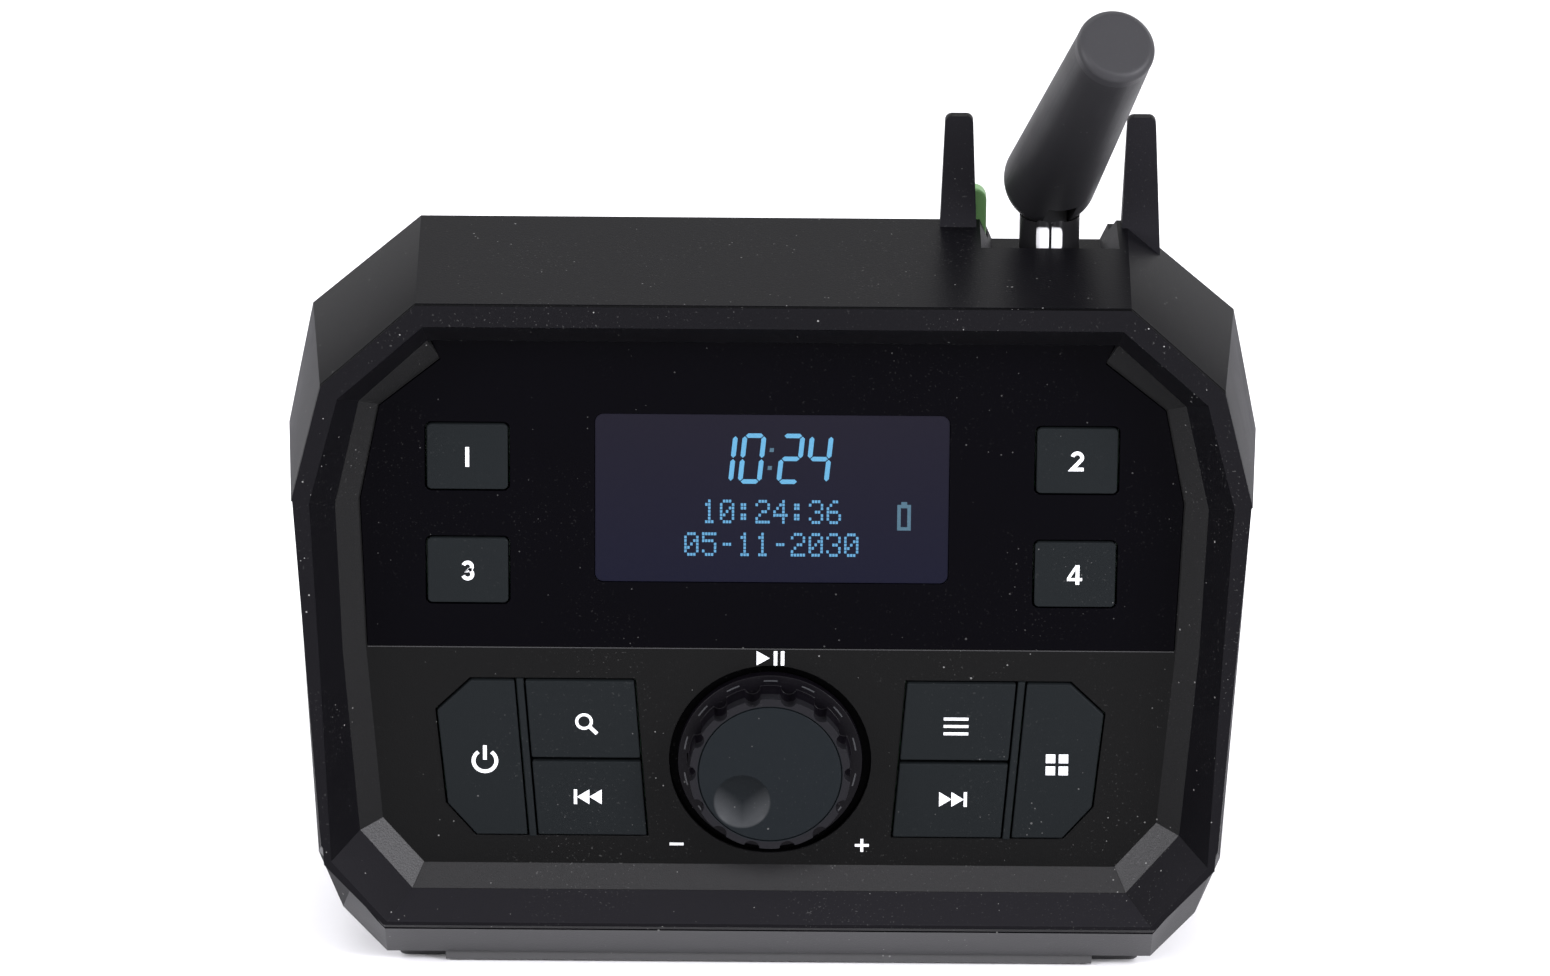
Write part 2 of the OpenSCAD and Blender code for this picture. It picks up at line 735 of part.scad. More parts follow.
// Group of three function keys: its outline on the panel
function lean_x(x, z) = x + (key_top - z) * key_lean;
function key_corners(s, grow) = [for (p = [
    [key_out_top - grow / 2, key_top + grow], [key_in_top + grow, key_top + grow],
    [key_in_low + grow, key_low - grow], [key_out_low - grow / 2, key_low - grow],
    key_side_low - [grow, grow / 2], key_side_top - [grow, -grow / 2]])
    [s * -p[0], panel_h + p[1]]];
module key_group(s) {
    polygon(key_corners(s, 0));
}

// Part of a key group between two leaning lines and two levels
module key_field(s, x0, x1, z0, z1) {
    polygon([for (p = [[lean_x(x0, z0), z0], [lean_x(x1, z0), z0], [lean_x(x1, z1), z1],
                       [lean_x(x0, z1), z1]]) [s * -p[0], panel_h + p[1]]]);
}

// One function key: cap, flange behind the panel and stem
module function_key(s, outer, upper) {
    x0 = outer ? -key_reach : key_split + key_bar / 2 + key_gap;
    x1 = outer ? key_split - key_bar / 2 - key_gap : 0;
    z0 = outer || !upper ? -key_reach : key_level + key_gap;
    z1 = outer || upper ? key_reach : key_level - key_gap;
    stem = stems[outer ? 0 : upper ? 1 : 2];
    slab(y_panel - key_proud, key_proud + panel_t + clear + flange_t) intersection() {
        polygon(key_corners(s, -key_gap));
        key_field(s, x0, x1, z0, z1);
    }
    bar_y(s * stem[0], panel_h + stem[1], stem_d, y_flange, y_stem);
}

module preset_button(i) {
    p = presets[i - 1];
    slab(y_panel - window_proud - preset_proud, window_proud + preset_proud + panel_t + clear + flange_t)
        translate([p[0], panel_h + p[1]]) round_rect(preset_w, preset_h, window_r);
    bar_y(p[0], panel_h + p[1], stem_d, y_flange, y_stem);
}

module preset_button_1() { color(key_grey) preset_button(1); }
module preset_button_2() { color(key_grey) preset_button(2); }
module preset_button_3() { color(key_grey) preset_button(3); }
module preset_button_4() { color(key_grey) preset_button(4); }
module power_key() { color(key_grey) function_key(-1, true, true); }
module search_key() { color(key_grey) function_key(-1, false, true); }
module previous_key() { color(key_grey) function_key(-1, false, false); }
module menu_key() { color(key_grey) function_key(1, false, true); }
module next_key() { color(key_grey) function_key(1, false, false); }
module mode_key() { color(key_grey) function_key(1, true, true); }

// Leaning bar between the tall key and the two short keys, held on the board
module key_divider(s) {
    slab(y_panel - key_proud, y_board - y_panel + key_proud) intersection() {
        polygon(key_corners(s, 0));
        key_field(s, key_split - key_bar / 2, key_split + key_bar / 2, -key_reach, key_reach);
    }
}
module left_key_bar() { color(key_grey) key_divider(-1); }
module right_key_bar() { color(key_grey) key_divider(1); }

// Centres of all key stems, on the front view
function stem_spots() = concat([for (p = presets) [p[0], panel_h + p[1]]],
    [for (s = [-1, 1], p = stems) [s * p[0], panel_h + p[1]]]);

module key_switches() {
    color("silver") for (p = stem_spots()) {
        slab(y_board - switch_h, switch_h) translate(p) square([switch_w, switch_w], center = true);
    }
}

module main_board() {
    color([0.1, 0.35, 0.2]) difference() {
        slab(y_board, board_t) translate([-board_w / 2, board_low])
            square([board_w, board_high - board_low]);
        for (x = [-1, 1], z = board_screw_z) {
            bar_y(x * board_screw_x, z, post_d, y_board - 1, y_board + board_t + 1);
        }
    }
}

// Screws that hold the board, on posts against the back of the panel
module board_screws() {
    color("silver") for (x = [-1, 1], z = board_screw_z) {
        bar_y(x * board_screw_x, z, post_d, y_panel_back, y_board + board_t);
        bar_y(x * board_screw_x, z, screw_head_d, y_panel_back, y_board);
        bar_y(x * board_screw_x, z, screw_head_d, y_board + board_t, y_board + board_t + screw_head_h);
    }
}

module encoder() {
    color("silver") difference() {
        slab(y_panel_back + switch_gap, y_board - y_panel_back - switch_gap) translate([0, knob_z])
            square([encoder_w, encoder_w], center = true);
        bar_y(0, knob_z, shaft_d + 2 * fit, y_panel_back, y_board + 1);
    }
}
module encoder_plunger() {
    color("dimgray") bar_y(0, knob_z, shaft_d - 1, y_shaft, y_board - knob_travel - switch_gap);
}
module encoder_shaft() {
    color("silver") bar_y(0, knob_z, shaft_d, y_crown + crown_t + 1, y_shaft);
}

// Flutes round the knob, cut from its crown down to the skirt
module knob_flutes_cut() {
    r = crown_d / 2 + flute_d / 2 - flute_depth;
    for (i = [0:knob_flutes - 1]) {
        a = 360 / knob_flutes * i;
        bar_y(r * cos(a), knob_z + r * sin(a), flute_d, y_crown - 1, y_panel - skirt_rise);
    }
}

// Dark fluted column with its base skirt
module knob() {
    front = y_crown + crown_t;
    color(black) difference() {
        union() {
            bar_y(0, knob_z, knob_skirt_d, y_panel - skirt_rise, y_skirt);
            translate([0, front, knob_z]) rotate([-90, 0, 0])
                cylinder(d1 = crown_d - 0.6, d2 = knob_d, h = y_skirt - front);
        }
        knob_flutes_cut();
        bar_y(0, knob_z, shaft_d, front + 1, y_skirt + 1);
    }
}

// Grey crown with a ring groove and the finger dimple
module knob_cap() {
    color(key_grey) difference() {
        bar_y(0, knob_z, crown_d, y_crown, y_crown + crown_t);
        knob_flutes_cut();
        difference() {
            bar_y(0, knob_z, knob_cap_d, y_crown - 1, y_crown + seam_w);
            bar_y(0, knob_z, knob_cap_d - seam_w, y_crown - 2, y_crown + 1);
        }
        translate([-dimple_r * cos(dimple_a), y_crown + dimple_depth - dimple_sphere,
                   knob_z - dimple_r * sin(dimple_a)]) sphere(r = dimple_sphere);
    }
}

// Side grille: plate with a row of rounded slots
module grille(s) {
    pitch = (grille_w - 2 * grille_margin) / grille_slots;
    on_side(s) translate([0, 0, -grille_t - grille_sink]) linear_extrude(grille_t) difference() {
        round_rect(grille_w, grille_w, grille_r);
        for (i = [0:grille_slots - 1]) {
            translate([(i - (grille_slots - 1) / 2) * pitch, 0])
                round_rect(pitch - grille_bar, grille_w - 2 * grille_edge, (pitch - grille_bar) / 2 - eps);
        }
    }
}
module left_grille() { color(black) grille(-1); }
module right_grille() { color(black) grille(1); }

// Speaker, seated on the back of the grille
module speaker_frame(s) {
    on_side(s) translate([0, 0, speaker_seat]) difference() {
        union() {
            cylinder(d = speaker_d, h = speaker_flange);
            translate([0, 0, -basket_d]) cylinder(d1 = basket_neck, d2 = basket_top, h = basket_d);
        }
        translate([0, 0, -basket_d - eps])
            cylinder(d1 = basket_neck - 2 * basket_wall, d2 = seat_d, h = basket_d + 2 * eps);
        cylinder(d = seat_d, h = speaker_flange + 1);
    }
}
module speaker_cone(s) {
    on_side(s) translate([0, 0, speaker_seat]) difference() {
        union() {
            translate([0, 0, 1 - basket_d]) cylinder(d1 = cone_neck, d2 = cone_top, h = basket_d - 1);
            cylinder(d = seat_d - 2 * fit, h = cone_t);
        }
        translate([0, 0, 2 - basket_d]) cylinder(d1 = cone_neck, d2 = cone_top - 1, h = basket_d - 1);
    }
}
module speaker_magnet(s) {
    on_side(s) translate([0, 0, speaker_seat - basket_d - magnet_t]) cylinder(d = magnet_d, h = magnet_t);
}
module left_speaker_frame() { color("dimgray") speaker_frame(-1); }
module right_speaker_frame() { color("dimgray") speaker_frame(1); }
module left_speaker_cone() { color(black) speaker_cone(-1); }
module right_speaker_cone() { color(black) speaker_cone(1); }
module left_speaker_magnet() { color("gray") speaker_magnet(-1); }
module right_speaker_magnet() { color("gray") speaker_magnet(1); }

// Frame of the antenna's swivel, turned to the right
module on_swivel() {
    translate([antenna_x, antenna_y, pivot_z]) rotate([0, 0, antenna_turn]) children();
}
// Plated lobes side by side in the collar's front, with the block that joins them to the tongue
module lobes() {
    y = -collar_d / 2 + lobe_d / 2 - lobe_proud;
    h = notch_h + collar_rise;
    rotate([0, 0, -antenna_turn]) translate([0, 0, collar_floor + clear]) {
        for (x = [-1, 1]) {
            translate([x * lobe_d / 2, y, 0]) cylinder(d = lobe_d, h = h + lobe_d);
        }
        translate([-lobe_d / 2, y, 0]) cube([lobe_d, -y, h - clear]);
    }
}

module antenna_collar() {
    color(black) on_swivel() difference() {
        union() {
            translate([0, 0, collar_floor]) cylinder(d = collar_d, h = notch_h + collar_rise);
            translate([0, 0, collar_floor - stub_l]) cylinder(d = stub_d, h = stub_l + 1);
        }
        sphere(d = bulb_d + 2 * clear);
        translate([-tongue_t / 2, -tongue_d / 2, -pivot_rise - tongue_root])
            cube([tongue_t, tongue_d, bulb_d]);
        lobes();
    }
}
module antenna_knuckle() {
    color("gray") on_swivel() difference() {
        union() {
            translate([-tongue_t / 2, -tongue_d / 2, -pivot_rise - tongue_root])
                cube([tongue_t, tongue_d, pivot_rise + tongue_root]);
            rotate([0, 90, 0]) cylinder(d = tongue_d, h = tongue_t, center = true);
            difference() {
                lobes();
                sphere(d = bulb_d + 2 * clear);
            }
        }
        rotate([0, 90, 0]) cylinder(d = pivot_d, h = pin_l, center = true);
    }
}
module antenna_pin() {
    color("silver") on_swivel() rotate([0, 90, 0]) cylinder(d = pivot_d, h = pin_l, center = true);
}
module antenna_sleeve() {
    slot = tongue_t / 2 + clear;
    reach = tongue_d / 2 + clear;
    color(black) on_swivel() rotate([antenna_lean, 0, 0]) difference() {
        union() {
            sphere(d = bulb_d);
            cylinder(d1 = bulb_d, d2 = tip_d, h = antenna_l - tip_l);
        }
        rotate([0, 90, 0]) cylinder(d = tongue_d + 2 * clear, h = 2 * slot, center = true);
        translate([-slot, -bulb_d, -bulb_d]) cube([2 * slot, bulb_d + reach, bulb_d]);
        translate([-slot, -bulb_d, -bulb_d]) cube([2 * slot, bulb_d, bulb_d + reach]);
        rotate([0, 90, 0]) cylinder(d = pivot_d + 2 * fit, h = pin_l + clear, center = true);
    }
}
module antenna_tip() {
    color(charcoal) on_swivel() rotate([antenna_lean, 0, 0]) translate([0, 0, antenna_l - tip_l])
        rotate_extrude() {
            square([tip_d / 2, tip_l - tip_r]);
            square([tip_d / 2 - tip_r, tip_l]);
            translate([tip_d / 2 - tip_r, tip_l - tip_r]) circle(tip_r);
        }
}

module battery_pack() {
    color([0.2, 0.3, 0.5]) on_slope() translate([0, cover_y + cover_l / 2, -cover_t - battery_t])
        linear_extrude(battery_t)
            square([cover_w, cover_l] - [2, 2] * (cover_lap + clear), center = true);
}

// Cover on the rear slope, with finger ribs along its lower edge
module battery_cover() {
    color(charcoal) on_slope() translate([0, cover_y, -cover_t]) {
        translate([-cover_w / 2, 0, 0]) cube([cover_w, cover_l, cover_t]);
        for (i = [0:rib_count - 1]) {
            translate([-rib_w / 2, cover_l - rib_set - rib_pitch * i, cover_t]) cube([rib_w, rib_t, rib_h]);
        }
    }
}

// Sprung thumb latch: tab with a round top and a foot below the wall
module battery_latch() {
    color([0.45, 0.7, 0.3]) translate([latch_x, latch_y, 0]) {
        translate([0, latch_t, 0]) rotate([90, 0, 0]) linear_extrude(latch_t) {
            translate([-latch_w / 2, body_h - latch_foot])
                square([latch_w, latch_foot + latch_rise - latch_r]);
            translate([0, body_h + latch_rise - latch_r]) round_rect(latch_w, 2 * latch_r, latch_r - 0.2);
        }
        translate([-latch_w / 2 - latch_lip, 0, body_h - latch_foot - latch_lip])
            cube([latch_w + 2 * latch_lip, latch_t, 2]);
    }
}

module base_plate() {
    color(black) difference() {
        translate([plate_set - bottom_w / 2, y_rim + chamfer_d + plate_front, plate_gap])
            cube([bottom_w - 2 * plate_set, body_d - chamfer_d - plate_front - plate_rear,
                  foot_h - plate_gap]);
        base_screw_holes(passage_d - 0.2);
        for (p = foot_spots) {
            translate([p[0], p[1], -1]) linear_extrude(foot_h + 2)
                round_rect(foot_w + 2 * clear, foot_l + 2 * clear, foot_r);
        }
        for (p = base_spots) {
            translate([p[0], p[1], plate_gap])
                cylinder(d1 = screw_head_d + 2 * fit, d2 = post_d + 2 * fit,
                         h = foot_h - plate_gap - head_land);
        }
    }
}

// Rubber foot with rounded corners
module foot(p) {
    translate([p[0], p[1], 0]) linear_extrude(foot_h) round_rect(foot_w, foot_l, foot_r);
}
module front_left_foot() { color(charcoal) foot(foot_spots[0]); }
module front_right_foot() { color(charcoal) foot(foot_spots[1]); }
module rear_left_foot() { color(charcoal) foot(foot_spots[2]); }
module rear_right_foot() { color(charcoal) foot(foot_spots[3]); }

module housing_screws() {
    color("silver") for (p = boss_spots) {
        bar_y(p[0], p[1], pilot_d, y_seam - boss_l + 3, screw_seat(p));
        bar_y(p[0], p[1], screw_head_d, screw_seat(p), screw_seat(p) + screw_head_h);
    }
}
module base_screws() {
    color("silver") for (p = base_spots) {
        translate([p[0], p[1], plate_gap]) {
            cylinder(d = pilot_d, h = base_screw_l);
            cylinder(d1 = screw_head_d, d2 = post_d, h = foot_h - plate_gap - head_land);
        }
    }
}

front_housing();
rear_housing();
front_bezel();
control_panel();
display_window();
lcd_module();
lcd_carrier();
main_board();
key_switches();
board_screws();
preset_button_1();
preset_button_2();
preset_button_3();
preset_button_4();
power_key();
search_key();
previous_key();
menu_key();
next_key();
mode_key();
left_key_bar();
right_key_bar();
encoder();
encoder_plunger();
encoder_shaft();
knob();
knob_cap();
left_grille();
right_grille();
left_speaker_frame();
right_speaker_frame();
left_speaker_cone();
right_speaker_cone();
left_speaker_magnet();
right_speaker_magnet();
antenna_collar();
antenna_knuckle();
antenna_pin();
antenna_sleeve();
antenna_tip();
battery_pack();
battery_cover();
battery_latch();
base_plate();
front_left_foot();
front_right_foot();
rear_left_foot();
rear_right_foot();
housing_screws();
base_screws();
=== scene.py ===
"""Looks of a rugged compact digital radio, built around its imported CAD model.

Lengths are in metres, and the outlines of marks are in millimetres. Seen from the front, +X is right, +Y is to the
rear and +Z is up, as in the frame.
"""

import json
import math
from collections import namedtuple

import bmesh
import bpy
from mathutils import Matrix, Vector


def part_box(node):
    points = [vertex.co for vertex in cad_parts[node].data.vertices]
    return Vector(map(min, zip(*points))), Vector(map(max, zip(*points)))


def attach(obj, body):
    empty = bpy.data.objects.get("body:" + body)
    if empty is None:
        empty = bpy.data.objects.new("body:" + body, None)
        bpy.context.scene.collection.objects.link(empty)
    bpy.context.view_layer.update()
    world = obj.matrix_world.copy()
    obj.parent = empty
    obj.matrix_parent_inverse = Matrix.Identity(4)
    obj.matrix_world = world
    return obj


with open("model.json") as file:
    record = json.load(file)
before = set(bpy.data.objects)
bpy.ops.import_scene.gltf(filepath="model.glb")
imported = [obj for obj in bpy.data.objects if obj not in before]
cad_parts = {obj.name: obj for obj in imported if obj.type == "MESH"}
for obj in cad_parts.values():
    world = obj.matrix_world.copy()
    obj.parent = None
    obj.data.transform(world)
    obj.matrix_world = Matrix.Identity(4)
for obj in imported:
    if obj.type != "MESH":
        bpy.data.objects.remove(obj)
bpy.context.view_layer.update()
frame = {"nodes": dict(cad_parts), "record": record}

MM = 0.001

# Marks are thin prisms that stand this far out of their face and reach this far into it.
PRINT_T = 0.03 * MM
SINK = 0.02 * MM
FRONT, REAR = -1, 1

# Faces and places read from the frame.
WINDOW_LOW, WINDOW_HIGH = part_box("display_window")
LCD_LOW, LCD_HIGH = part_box("lcd_module")
CAP_LOW, CAP_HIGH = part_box("knob_cap")
COLLAR_LOW, COLLAR_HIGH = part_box("antenna_collar")
WINDOW_PROUD = 0.2 * MM
PANEL_FACE = WINDOW_LOW.y + WINDOW_PROUD
LCD_FACE = LCD_LOW.y
DISPLAY_Z = (LCD_LOW.z + LCD_HIGH.z) / 2
KNOB_X = (CAP_LOW.x + CAP_HIGH.x) / 2
KNOB_Z = (CAP_LOW.z + CAP_HIGH.z) / 2

# The cap's rim, which carries a painted highlight, from its inner to its outer edge, and the finger dimple, which
# carries painted shade and painted light, with its soft edge.
RIM_INNER_R = 12.3 * MM
RIM_OUTER_R = 12.45 * MM
DIMPLE_X = KNOB_X - 4.7 * MM
DIMPLE_Z = KNOB_Z - 5.05 * MM
DIMPLE_R = 4.6 * MM
DIMPLE_EDGE_R = 4.95 * MM

# The two painted highlights on the front of the antenna's knuckle: bright lobes that stand in for the lamps'
# reflections in its plating.
LOBES_X = (COLLAR_LOW.x + COLLAR_HIGH.x) / 2 - 0.2 * MM
LOBES_Z = COLLAR_HIGH.z - 2.8 * MM
LOBE_OFFSET = 1.1 * MM
LOBE_HALF_W = 1.1 * MM
LOBE_HALF_H = 2.1 * MM

# Depths over which the housing's painted shade fades, so that it brightens from the rim to the rear.
SHADE_FRONT_Y = -40 * MM
SIDE_SHADE_REAR_Y = -2 * MM
SHOULDER_SHADE_REAR_Y = 2 * MM

# Gaps in the panel hold painted shade from this far behind its face.
GAP_START = 0.3 * MM
# Widths over which the zones that start at a depth or at a height fade in.
DEPTH_FADE = 0.3 * MM
HEIGHT_FADE = 1.0 * MM


# Shader nodes

def feed(tree, socket, value):
    """Set a socket to a value, or link it where the value is another node's output."""
    if isinstance(value, bpy.types.NodeSocket):
        tree.links.new(value, socket)
    else:
        socket.default_value = value


def node(tree, kind, **values):
    """New node. Each value goes to the input of that name, or else to the setting of that name."""
    made = tree.nodes.new("ShaderNode" + kind)
    for key, value in values.items():
        if key in made.inputs:
            feed(tree, made.inputs[key], value)
        else:
            setattr(made, key, value)
    return made


def noise(tree, coords, size_mm, detail=3.0):
    """Noise whose features are about size_mm across."""
    made = node(tree, "TexNoise", Vector=coords, Scale=1.0 / (size_mm * MM), Detail=detail, Roughness=0.55)
    return made.outputs["Fac"]


def remap(tree, value, low, high, start=0.3, stop=0.7):
    """Number that runs from low to high as value runs from start to stop, and stays level beyond."""
    made = node(tree, "MapRange", Value=value,
                **{"From Min": start, "From Max": stop, "To Min": low, "To Max": high})
    return made.outputs["Result"]


def blend(tree, share, first, second):
    return remap(tree, share, first, second, 0.0, 1.0)


def mix(tree, share, first, second):
    """Colour that runs from first to second as share runs from 0 to 1."""
    made = node(tree, "Mix", data_type="RGBA")
    tree.links.new(share, made.inputs["Factor"])
    for socket, color in ((made.inputs[6], first), (made.inputs[7], second)):
        feed(tree, socket, color if isinstance(color, bpy.types.NodeSocket) else (*color, 1.0))
    return made.outputs[2]


def math_of(tree, operation, first, second=0.0):
    made = node(tree, "Math", operation=operation)
    feed(tree, made.inputs[0], first)
    feed(tree, made.inputs[1], second)
    return made.outputs[0]


def vector_math(tree, operation, first, second=(0, 0, 0)):
    made = node(tree, "VectorMath", operation=operation)
    feed(tree, made.inputs[0], first)
    feed(tree, made.inputs[1], second)
    return made.outputs


def split(tree, vector):
    return node(tree, "SeparateXYZ", Vector=vector).outputs


def normal_of(tree):
    return split(tree, node(tree, "NewGeometry").outputs["Normal"])


def scaled(color, share):
    return tuple(c * share for c in color)


# Zones of a surface. A zone's share is a function of the node tree and the place, and runs from 0 to 1. Where it is 1,
# the surface has the zone's colour, roughness and specular level.

Zone = namedtuple("Zone", "share color rough level")


def facing_down(tree, coords):
    return remap(tree, normal_of(tree)["Z"], 1.0, 0.0, -0.55, -0.25)


def facing_up(tree, coords):
    return remap(tree, normal_of(tree)["Z"], 0.0, 1.0, 0.4, 0.8)


def off_front(tree, coords):
    """Share on the faces that slope away from the panel's flat front."""
    return remap(tree, normal_of(tree)["Y"], 0.0, 1.0, -0.97, -0.9)


def facing_corner(tree, coords):
    """Share on the faces that lean both up and to a side."""
    normal = normal_of(tree)
    lean = math_of(tree, "MINIMUM", math_of(tree, "ABSOLUTE", normal["X"]), normal["Z"])
    return remap(tree, lean, 0.0, 1.0, 0.2, 0.36)


def behind(y):
    def zone(tree, coords):
        return remap(tree, split(tree, coords)["Y"], 0.0, 1.0, y, y + DEPTH_FADE)
    return zone


def ahead(near, far):
    """Share that falls from 1 at the depth near to 0 at the depth far."""
    def zone(tree, coords):
        return remap(tree, split(tree, coords)["Y"], 1.0, 0.0, near, far)
    return zone


def corner_ahead(near, far):
    """The share of ahead, on the faces that lean both up and to a side."""
    depth = ahead(near, far)

    def zone(tree, coords):
        return math_of(tree, "MULTIPLY", facing_corner(tree, coords), depth(tree, coords))
    return zone


def upper_edge(z):
    """Share on the faces that lean up, above the height z."""
    def zone(tree, coords):
        high = remap(tree, split(tree, coords)["Z"], 0.0, 1.0, z, z + HEIGHT_FADE)
        return math_of(tree, "MULTIPLY", remap(tree, normal_of(tree)["Z"], 0.0, 1.0, 0.12, 0.35), high)
    return zone


def within(x, z, near, far):
    """Share that runs from 1 at the radius near to 0 at the radius far, round an axis along Y."""
    def zone(tree, coords):
        offset = vector_math(tree, "SUBTRACT", coords, (x, 0, z))["Vector"]
        flat = vector_math(tree, "MULTIPLY", offset, (1, 0, 1))["Vector"]
        reach = vector_math(tree, "LENGTH", flat)["Value"]
        return remap(tree, reach, 1.0, 0.0, near, far)
    return zone


def bowl_light(x, z, near, far):
    """Share on the lit sides and lower part of a bowl, 0 in its middle and upper part."""
    inside = within(x, z, near, far)

    def zone(tree, coords):
        normal = normal_of(tree)
        sides = math_of(tree, "MULTIPLY", math_of(tree, "ABSOLUTE", normal["X"]), 0.85)
        lit = math_of(tree, "ADD", sides, math_of(tree, "MULTIPLY", normal["Z"], 0.9))
        return math_of(tree, "MULTIPLY", inside(tree, coords), remap(tree, lit, 0.0, 1.0, 0.06, 0.48))
    return zone


def off_lobes(x, z, offset, half_w, half_h):
    """Share that is 0 on two round-cornered spots side by side on the front, and 1 elsewhere."""
    def zone(tree, coords):
        place = split(tree, coords)
        aside = math_of(tree, "ABSOLUTE", math_of(tree, "SUBTRACT", place["X"], x))
        across = math_of(tree, "DIVIDE", math_of(tree, "SUBTRACT", aside, offset), half_w)
        along = math_of(tree, "DIVIDE", math_of(tree, "SUBTRACT", place["Z"], z), half_h)
        reach = math_of(tree, "ADD", *(math_of(tree, "POWER", math_of(tree, "ABSOLUTE", part), 4.0)
                                       for part in (across, along)))
        return remap(tree, reach, 0.0, 1.0, 0.7, 1.5)
    return zone


# Materials

DUST = (0.3, 0.3, 0.29)
# Distance between specks, size of the patches that hold them, grain of the fine dust and size of its patches, in mm.
SPECK_APART = 1.6
SPECK_PATCH = 6.0
DUST_GRAIN = 0.45
DUST_PATCH = 22.0


def dusty(tree, coords, tint, amount):
    """The tint with scattered specks and with patches of fine dust."""
    cells = node(tree, "TexVoronoi", Vector=coords, Scale=1.0 / (SPECK_APART * MM))
    size = remap(tree, noise(tree, coords, SPECK_PATCH), -0.10, 0.13)
    specks = math_of(tree, "LESS_THAN", cells.outputs["Distance"], size)
    tint = mix(tree, math_of(tree, "MULTIPLY", specks, amount), tint, DUST)
    fine = remap(tree, noise(tree, coords, DUST_GRAIN, detail=1.0), 0.0, 0.24 * amount, 0.67, 0.77)
    patches = remap(tree, noise(tree, coords, DUST_PATCH), 0.0, 1.0, 0.44, 0.64)
    return mix(tree, math_of(tree, "MULTIPLY", fine, patches), tint, DUST)


def surface(name, color, rough, level=0.5, grain_mm=0.4, depth_mm=0.03, tone=0.08, patch_mm=30.0, rough_spread=0.03,
            specks=0.0, stretch=None, fade=None, zones=(), **shader):
    """Moulded or plated surface: patchy tone, uneven roughness, fine grain and a few dust specks.

    level is the specular level, and fade = (low z, high z, color) blends to that colour towards the low z."""
    material = bpy.data.materials.new(name)
    material.use_nodes = True
    tree = material.node_tree
    bsdf = tree.nodes["Principled BSDF"]
    for key, value in shader.items():
        bsdf.inputs[key.replace("_", " ")].default_value = value
    place = node(tree, "TexCoord").outputs["Object"]
    coords = node(tree, "Mapping", Vector=place, Scale=stretch).outputs["Vector"] if stretch else place
    tint = mix(tree, noise(tree, coords, patch_mm), scaled(color, 1 - tone), scaled(color, 1 + tone))
    if fade:
        low_z, high_z, low_color = fade
        tint = mix(tree, remap(tree, split(tree, coords)["Z"], 0.0, 1.0, low_z, high_z), low_color, tint)
    grain = noise(tree, coords, grain_mm, detail=2.0)
    tint = mix(tree, remap(tree, grain, 0.0, 0.35), tint, scaled(color, 1 + 2 * tone))
    gloss = remap(tree, noise(tree, coords, patch_mm / 4), rough - rough_spread, rough + rough_spread)
    for zone in zones:
        share = zone.share(tree, place)
        tint = mix(tree, share, tint, zone.color)
        gloss = blend(tree, share, gloss, zone.rough)
        level = blend(tree, share, level, zone.level)
    if specks:
        tint = dusty(tree, coords, tint, specks)
    bump = node(tree, "Bump", Strength=1.0, Distance=depth_mm * MM, Height=grain)
    feed(tree, bsdf.inputs["Base Color"], tint)
    feed(tree, bsdf.inputs["Roughness"], gloss)
    feed(tree, bsdf.inputs["Specular IOR Level"], level)
    feed(tree, bsdf.inputs["Normal"], bump.outputs["Normal"])
    return material


def print_and_painted_light_ink(name, color, glow=0.0):
    """Printed marks, lit display segments, and the marks of painted highlight and painted shade, with slightly uneven
    coverage.
    """
    material = surface(name, color, rough=0.5, grain_mm=0.15, depth_mm=0.004, tone=0.06, patch_mm=3.0)
    if glow:
        bsdf = material.node_tree.nodes["Principled BSDF"]
        bsdf.inputs["Emission Color"].default_value = (*color, 1.0)
        bsdf.inputs["Emission Strength"].default_value = glow
    return material


# Reflections of the dark mouldings lean a little to violet.
COOL = (0.95, 0.93, 1.0, 1.0)

# Housing: painted shade towards the rim, painted light from the bright floor where it faces down, a satin top darkened
# by painted shade, and the deepest painted shade where the shoulders meet the rim.
RIM_PAINTED_SHADE = Zone(ahead(SHADE_FRONT_Y, SIDE_SHADE_REAR_Y), (0.0035, 0.0034, 0.0042), rough=0.5, level=0.022)
UNDERSIDE_PAINTED_LIGHT = Zone(facing_down, (0.021, 0.021, 0.022), rough=0.4, level=0.28)
SATIN_TOP_PAINTED_SHADE = Zone(facing_up, (0.0035, 0.0034, 0.0042), rough=0.34, level=0.016)
SHOULDER = Zone(corner_ahead(SHADE_FRONT_Y, SHOULDER_SHADE_REAR_Y), (0.0012, 0.0011, 0.0018), rough=0.36, level=0.006)

# Bezel: lighter where it faces up, partly from dust and partly painted light from above, and painted shade along the
# crease at its upper outer edge.
DUST_AND_PAINTED_LIGHT = Zone(facing_up, (0.0105, 0.0102, 0.0118), rough=0.45, level=0.08)
CREASE_PAINTED_SHADE = Zone(upper_edge(DISPLAY_Z), (0.001, 0.001, 0.0012), rough=0.6, level=0.01)

# Panel: painted light on the bevelled strip, more where it faces up and a painted highlight at its lower corners, and
# painted shade in the gaps.
STRIP = Zone(off_front, (0.0044, 0.0044, 0.0046), rough=0.38, level=0.11)
UPWARD_STRIP_PAINTED_LIGHT = Zone(facing_up, (0.0122, 0.012, 0.0126), rough=0.38, level=0.16)
CORNER_STRIP_PAINTED_HIGHLIGHT = Zone(facing_corner, (0.014, 0.014, 0.0145), rough=0.38, level=0.15)
GAP_PAINTED_SHADE = Zone(behind(PANEL_FACE + GAP_START), (0.0008, 0.0008, 0.001), rough=0.6, level=0.02)

